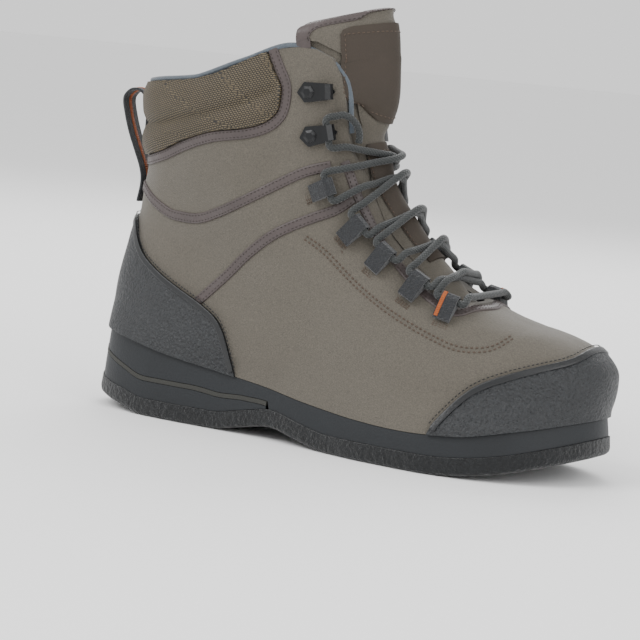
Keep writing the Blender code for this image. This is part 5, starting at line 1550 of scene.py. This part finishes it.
def make_trim_looks(looks, skin):
    """Double-stitched bands, edges of the rubber and the quarter's seam."""
    brown = Stitches("trim_stitches", looks["thread_brown"], "trim")
    tan = Stitches("seam_stitches", looks["thread_tan"], "upper_fabric")
    black = Stitches("rubber_stitches", looks["thread_black"], "pebbled_rubber")
    high = TRIM * 1.15

    def sewn(name, path, width, nodes):
        strip(name, skin, path, width, high, looks["trim"], nodes)
        for side in (-1, 1):
            row = beside(skin, path, side * (width / 2 - 0.0013))
            brown.row(skin, row, 0.0023, 0.70, 0.00030, high)

    middle = -(GAP + TRIM_WIDTH / 2)
    collar = line(COLLAR_LINE, 300)
    pad = round_back(skin, PAD_LINE, middle)
    keep = pad[:, 2] < np.interp(pad[:, 0], collar[:, 0], collar[:, 1]) + 0.001
    sewn("pad_band", pad[keep], TRIM_WIDTH, ["pad_trim"])
    sewn("ankle_band", round_back(skin, ANKLE_LINE), TRIM_WIDTH, ["ankle_trim"])
    for side, name in ((-1, "outer"), (1, "inner")):
        path = side_hits(skin, line(QUARTER_LINE, 80), side)
        sewn("quarter_band_" + name, relaxed(dense(path, 0.002)), TRIM_WIDTH, ["quarter_trim_" + name])

    offset = -(THROAT_SEAM + THROAT_TRIM / 2)
    throat = line(THROAT_LINE, 160, offset)
    throat = throat[throat[:, 0] < 0.2385]
    halves = [side_hits(skin, throat, side) for side in (-1, 1)]
    front = throat[-1][0] + 0.0045
    across = [np.array(skin.ray_cast(Vector((front - 0.010 * (y / 0.021) ** 2, y, 0.3)),
                                     Vector((0, 0, -1)))[0]) for y in np.linspace(-0.015, 0.015, 13)]
    low = [p for p in halves[0] if abs(p[1]) > 0.0195]
    far = [p for p in halves[1] if abs(p[1]) > 0.0195]
    path = relaxed(dense([*low[::6], *across, *far[::-1][::6]], 0.002), 10)
    path = beside(skin, path, 0.0)
    sewn("throat_band", path, THROAT_TRIM + 0.0008, ["throat_trim"])

    over = GAP + RUBBER
    inset = 0.0014
    for name, table in (("toe_edge", TOE_CAP_LINE), ("counter_edge", COUNTER_LINE)):
        if name == "counter_edge":
            path = round_back(skin, table, -inset)
        else:
            edge = line(table, 300, inset)
            sides = [side_hits(skin, edge, side) for side in (-1, 1)]
            sides = [[p for p in points if abs(p[1]) > 0.012] for points in sides]
            front = max(p[0] for p in sides[0])
            top = [snap(skin, (front + 0.0016, y, sides[0][0][2] + 0.0006))[0]
                   for y in np.linspace(-0.008, 0.008, 5)]
            path = relaxed(dense([*sides[0][::-5], *top, *sides[1][::5]], 0.002), 8)
        path = np.array([p for p in path if p[2] > feather(p[0]) + 0.0015])
        strip(name, skin, path, 0.0036, 0.0010, looks["edge"], (), over - 0.0002)
        flip = 1 if name == "toe_edge" else -1
        black.row(skin, beside(skin, path, flip * 0.0033), 0.0024, 0.72, 0.00034, over + 0.0001)

    for offset in (-0.0011, 0.0011):
        for side in (-1, 1):
            seam = side_hits(skin, line(STITCH_LINE, 200, offset), side)
            seam = relaxed(dense(seam[::4], 0.002))
            tan.row(skin, seam, 0.0027, 0.70, 0.00046, 0.0003)
    return brown, tan, black


def make_piping_look(looks):
    above = PIPING_RADIUS * 0.75
    end = length(COLLAR_LINE) / length(EDGE_LINE)
    share = np.linspace(0, 1, EDGE_POINTS)
    edge = line(EDGE_LINE, EDGE_POINTS, above)
    front = edge[(share <= end) & (edge[:, 0] > PIPING_TURN * SOLE_LENGTH)]
    tree = tree_of([stack("guide_middle", form_rings(-WALL / 2, 0.005, 0.006)).data])
    halves = []
    for side in (-1, 1):
        path = [np.array(p) for p in side_hits(tree, front[::-1], side)]
        shares = 0.5 * (1 - np.cos(turn_angles()[ROUND // 2:0:-1]))
        back = [at_collar(share, side, -WALL / 2, above) for share in shares]
        back = [np.array(tree.find_nearest(Vector(p))[0]) for p in back]
        path += [p for p in back if p[0] < (PIPING_TURN - 0.02) * SOLE_LENGTH]
        halves.append(path)
    back = np.array(at_collar(0.0, -1, 0.0, above)) + np.array([WALL / 2, 0, 0])
    path = relaxed(dense(halves[0][::3] + [back] + halves[1][::-3], 0.0015), 4)
    finished(round_tube("collar_roll", path, PIPING_RADIUS * 0.98, 14, looks["piping"]),
             "collar_roll", ["collar_piping"], 80)


def make_lacing(looks):
    """Loops, hooks and laces."""
    ground_names = ("upper", "throat_trim", "quarter_trim", "ankle_trim", "pad_trim")
    tree = cad_tree(ground_names)
    loops, hooks = loop_frames(tree), hook_frames(tree)
    names = {-1: "outer", 1: "inner"}
    low_tree = cad_tree(("upper",))
    tacks = Stitches("bar_tacks", looks["thread_tan"], "webbing")
    for side, name in names.items():
        for number, (matrix, reach) in enumerate(loops[side], 1):
            node = f"lace_loop_{name}_{number}"
            solid = frame["nodes"][node].data
            mesh = solid.copy()
            mesh.transform(Matrix.Translation((HEEL_REST, 0, 0)))
            mesh.materials.clear()
            thing = add_object("guide_" + node, mesh, looks["webbing"])
            finished(with_bevel(thing, 0.00028, 2, 40), "webbing_" + node[5:], [node], 50)
            way = np.array(matrix.to_3x3().col[0])
            out = np.array(matrix.to_3x3().col[2])
            aside = np.array(matrix.to_3x3().col[1])
            start = np.array(matrix.translation)
            top = tree_of([mesh])
            if number == 1:
                path = []
                for share in np.linspace(-reach * 0.98, LACE_RADIUS * 1.1, 26):
                    spot = start + way * share + aside * LOOP_WIDTH * 0.34
                    hit = top.ray_cast(Vector(spot + out * 0.02), Vector(-out), 0.04)[0]
                    if hit:
                        path.append(np.array(hit))
                strip("orange_" + name, top, path, 0.0022, 0.0004, looks["orange"])
            for row in range(3):
                back = start - way * (reach + 0.0016 + row * 0.0011)
                for step in range(5):
                    spot = back + aside * LOOP_WIDTH * 0.40 * (step - 2) / 2
                    base, normal = snap(low_tree, spot)
                    slant = aside + way * 0.3 * (-1) ** step
                    tacks.one(base + normal * 0.0001, slant, normal, 0.0009, 0.0003)
    tacks.done()

    sheet, room = HOOK_PLATE, 2 * (LACE_RADIUS + LACE_PLAY)
    bend, long = room / 2 + sheet, HOOK_LENGTH / 2
    for side, name in names.items():
        for number, matrix in enumerate(hooks[side], 1):
            node = f"speed_hook_{name}_{number}"
            mesh = frame["nodes"][node].data.copy()
            mesh.transform(Matrix.Translation((HEEL_REST, 0, 0)))
            mesh.materials.clear()
            thing = add_object("guide_" + node, mesh, looks["metal"])
            finished(with_bevel(thing, 0.00022, 2, 30), "metal_" + node[6:], [node], 40)
    centre = (0.92 * long - bend, sheet + room / 2)

    tree = cad_tree((
        "upper", "throat_trim", "quarter_trim", "ankle_trim", "tongue", "collar_piping",
    ))
    stops = lace_stops(loops, hooks, centre)
    rows = [(stops[-1][k][0] + stops[1][k][0]) / 2 for k in range(len(stops[1]))]

    def outward(k):
        run = rows[k + 1] - rows[k]
        return np.array([run[2], 0, -run[0]]) / math.hypot(run[0], run[2])

    def laced(name, path, slot_nodes=()):
        path = dense(path, 0.0012)
        return finished(round_tube(name, path, LACE_RADIUS * 0.985, 16, looks["lace"]), name,
                        slot_nodes, 80)

    outer, up, ahead, normal = stops[-1][0]
    laced("cord_bar", strand(tree, (outer, -up, ahead, normal), stops[1][0], outward(0)), ["lace_bar"])
    hook, hook_up, _, _ = stops[-1][-1]
    half = LOOP_WIDTH / 2 + LACE_EXIT
    free = np.array([hook + hook_up * LACE_APART, hook + hook_up * half, *placed(LACE_END, -1)])
    run = np.concatenate([[0], np.cumsum(np.linalg.norm(np.diff(free, axis=0), axis=1))])
    free = round_curve(free, run, LACE_POINTS)
    free = dense(push_out(tree, free, LACE_RADIUS + LACE_CLEAR, np.array([0.6, -0.8, 0])), 0.0015)
    end = laced("cord_free_end", free, ["lace_end_outer"])
    path = free - np.array([HEEL_REST, 0, 0])
    for k in range(len(LOOPS)):
        lower = strand(tree, stops[1][k], stops[-1][k + 1], outward(k))
        upper = strand(tree, stops[-1][k], stops[1][k + 1], outward(k), lower)
        laced(f"cord_over_{k + 1}", upper, [f"lace_crossing_{k + 1}"])
        laced(f"cord_under_{k + 1}", lower)


def make_pull_look(looks):
    """Webbing pull loop with its orange middle stripe."""
    path = []
    for out, rise in PULL_LINE:
        x = back_at(rise)
        path.append((x - out, float(lift(x / SOLE_LENGTH, rise)[1])))
    path = np.array(path)
    run = np.concatenate([[0], np.cumsum(np.hypot(*np.diff(path, axis=0).T))])
    flat = round_curve(path, run, 110)
    tangent = np.gradient(flat, axis=0)
    tangent /= np.linalg.norm(tangent, axis=1, keepdims=True)
    side = np.stack([-tangent[:, 1], tangent[:, 0]], 1)

    def ribbon(name, thick, width, look):
        left, right = flat + thick / 2 * side, flat - thick / 2 * side
        return with_bevel(prism("guide_" + name, [*left, *right[::-1]], -width / 2, width / 2, look),
                          0.00025, 2, 50)

    finished(ribbon("pull", PULL_THICK, PULL_WIDTH, looks["webbing"]), "pull_webbing",
             ["pull_loop"], 50)
    finished(ribbon("pull_stripe", PULL_THICK + 0.0007, 0.0026, looks["orange"]), "pull_stripe",
             (), 50)


LAMPS = (
    # name, place, size in metres, power in watts
    ("key", (-0.7, -1.2, 1.5), 1.2, 26),
    ("fill", (1.4, -0.6, 0.9), 1.2, 11),
    ("rim", (-0.4, 1.2, 1.2), 1.0, 14),
)
FLOOR_HALF = 40.0
LAMP_AIM = Vector((0.06, 0, 0.1))


def make_stage():
    """Plain pale floor and soft studio light."""
    floor_look = bpy.data.materials.new("floor")
    floor_look.use_nodes = True
    shader = floor_look.node_tree.nodes["Principled BSDF"]
    shader.inputs["Base Color"].default_value = (0.93, 0.93, 0.93, 1)
    shader.inputs["Roughness"].default_value = 0.9
    low = CAD_BOX[0][2]
    corners = [(x * FLOOR_HALF, y * FLOOR_HALF, low) for x, y in ((-1, -1), (1, -1), (1, 1), (-1, 1))]
    mesh = bpy.data.meshes.new("floor")
    mesh.from_pydata(corners, [], [(0, 1, 2, 3)])
    mesh.materials.append(floor_look)
    floor = bpy.data.objects.new("floor", mesh)
    bpy.context.scene.collection.objects.link(floor)

    world = bpy.data.worlds.new("studio")
    world.use_nodes = True
    world.node_tree.nodes["Background"].inputs["Color"].default_value = (1, 1, 1, 1)
    world.node_tree.nodes["Background"].inputs["Strength"].default_value = 1.15
    bpy.context.scene.world = world
    for name, spot, size, power in LAMPS:
        light = bpy.data.lights.new(name, "AREA")
        light.energy, light.size = power, size
        lamp = bpy.data.objects.new(name, light)
        lamp.location = spot
        lamp.rotation_euler = (LAMP_AIM - Vector(spot)).to_track_quat("-Z", "Y").to_euler()
        bpy.context.scene.collection.objects.link(lamp)


CAMERA_TURN, CAMERA_RISE, CAMERA_ROLL = 28.0, 6.6, 5.6
CAMERA_AWAY = 1.3
CAMERA_AIM = (0.1361 - HEEL_REST, 0, 0.0651)
CAMERA_LENS = 129.6


def make_camera():
    """The photo's camera: round, up, rolled and its distance from the boot."""
    around, up, roll = (math.radians(v) for v in (CAMERA_TURN, CAMERA_RISE, CAMERA_ROLL))
    away = np.array([math.sin(around), -math.cos(around), 0.0]) * math.cos(up)
    away[2] = math.sin(up)
    level = np.array([math.cos(around), math.sin(around), 0.0])
    rise = np.cross(away, level)
    right = level * math.cos(roll) + rise * math.sin(roll)
    top = -level * math.sin(roll) + rise * math.cos(roll)
    data = bpy.data.cameras.new("camera")
    data.lens, data.sensor_width = CAMERA_LENS, 36
    camera = bpy.data.objects.new("camera", data)
    matrix = Matrix.Identity(4)
    centre = np.array(CAMERA_AIM) + away * CAMERA_AWAY
    for i in range(3):
        matrix[i][0], matrix[i][1], matrix[i][2], matrix[i][3] = right[i], top[i], away[i], centre[i]
    camera.matrix_world = matrix
    bpy.context.scene.collection.objects.link(camera)
    bpy.context.scene.camera = camera


looks = make_looks()
make_sole_looks(looks)
make_body(looks)
make_tongue_looks(looks)
skin = tree_of([stack("guide_skin", form_rings(0.0, 0.005, 0.0)).data])
for threads in make_trim_looks(looks, skin):
    threads.done()
make_piping_look(looks)
make_lacing(looks)
make_pull_look(looks)
make_stage()
make_camera()
drop_guides()
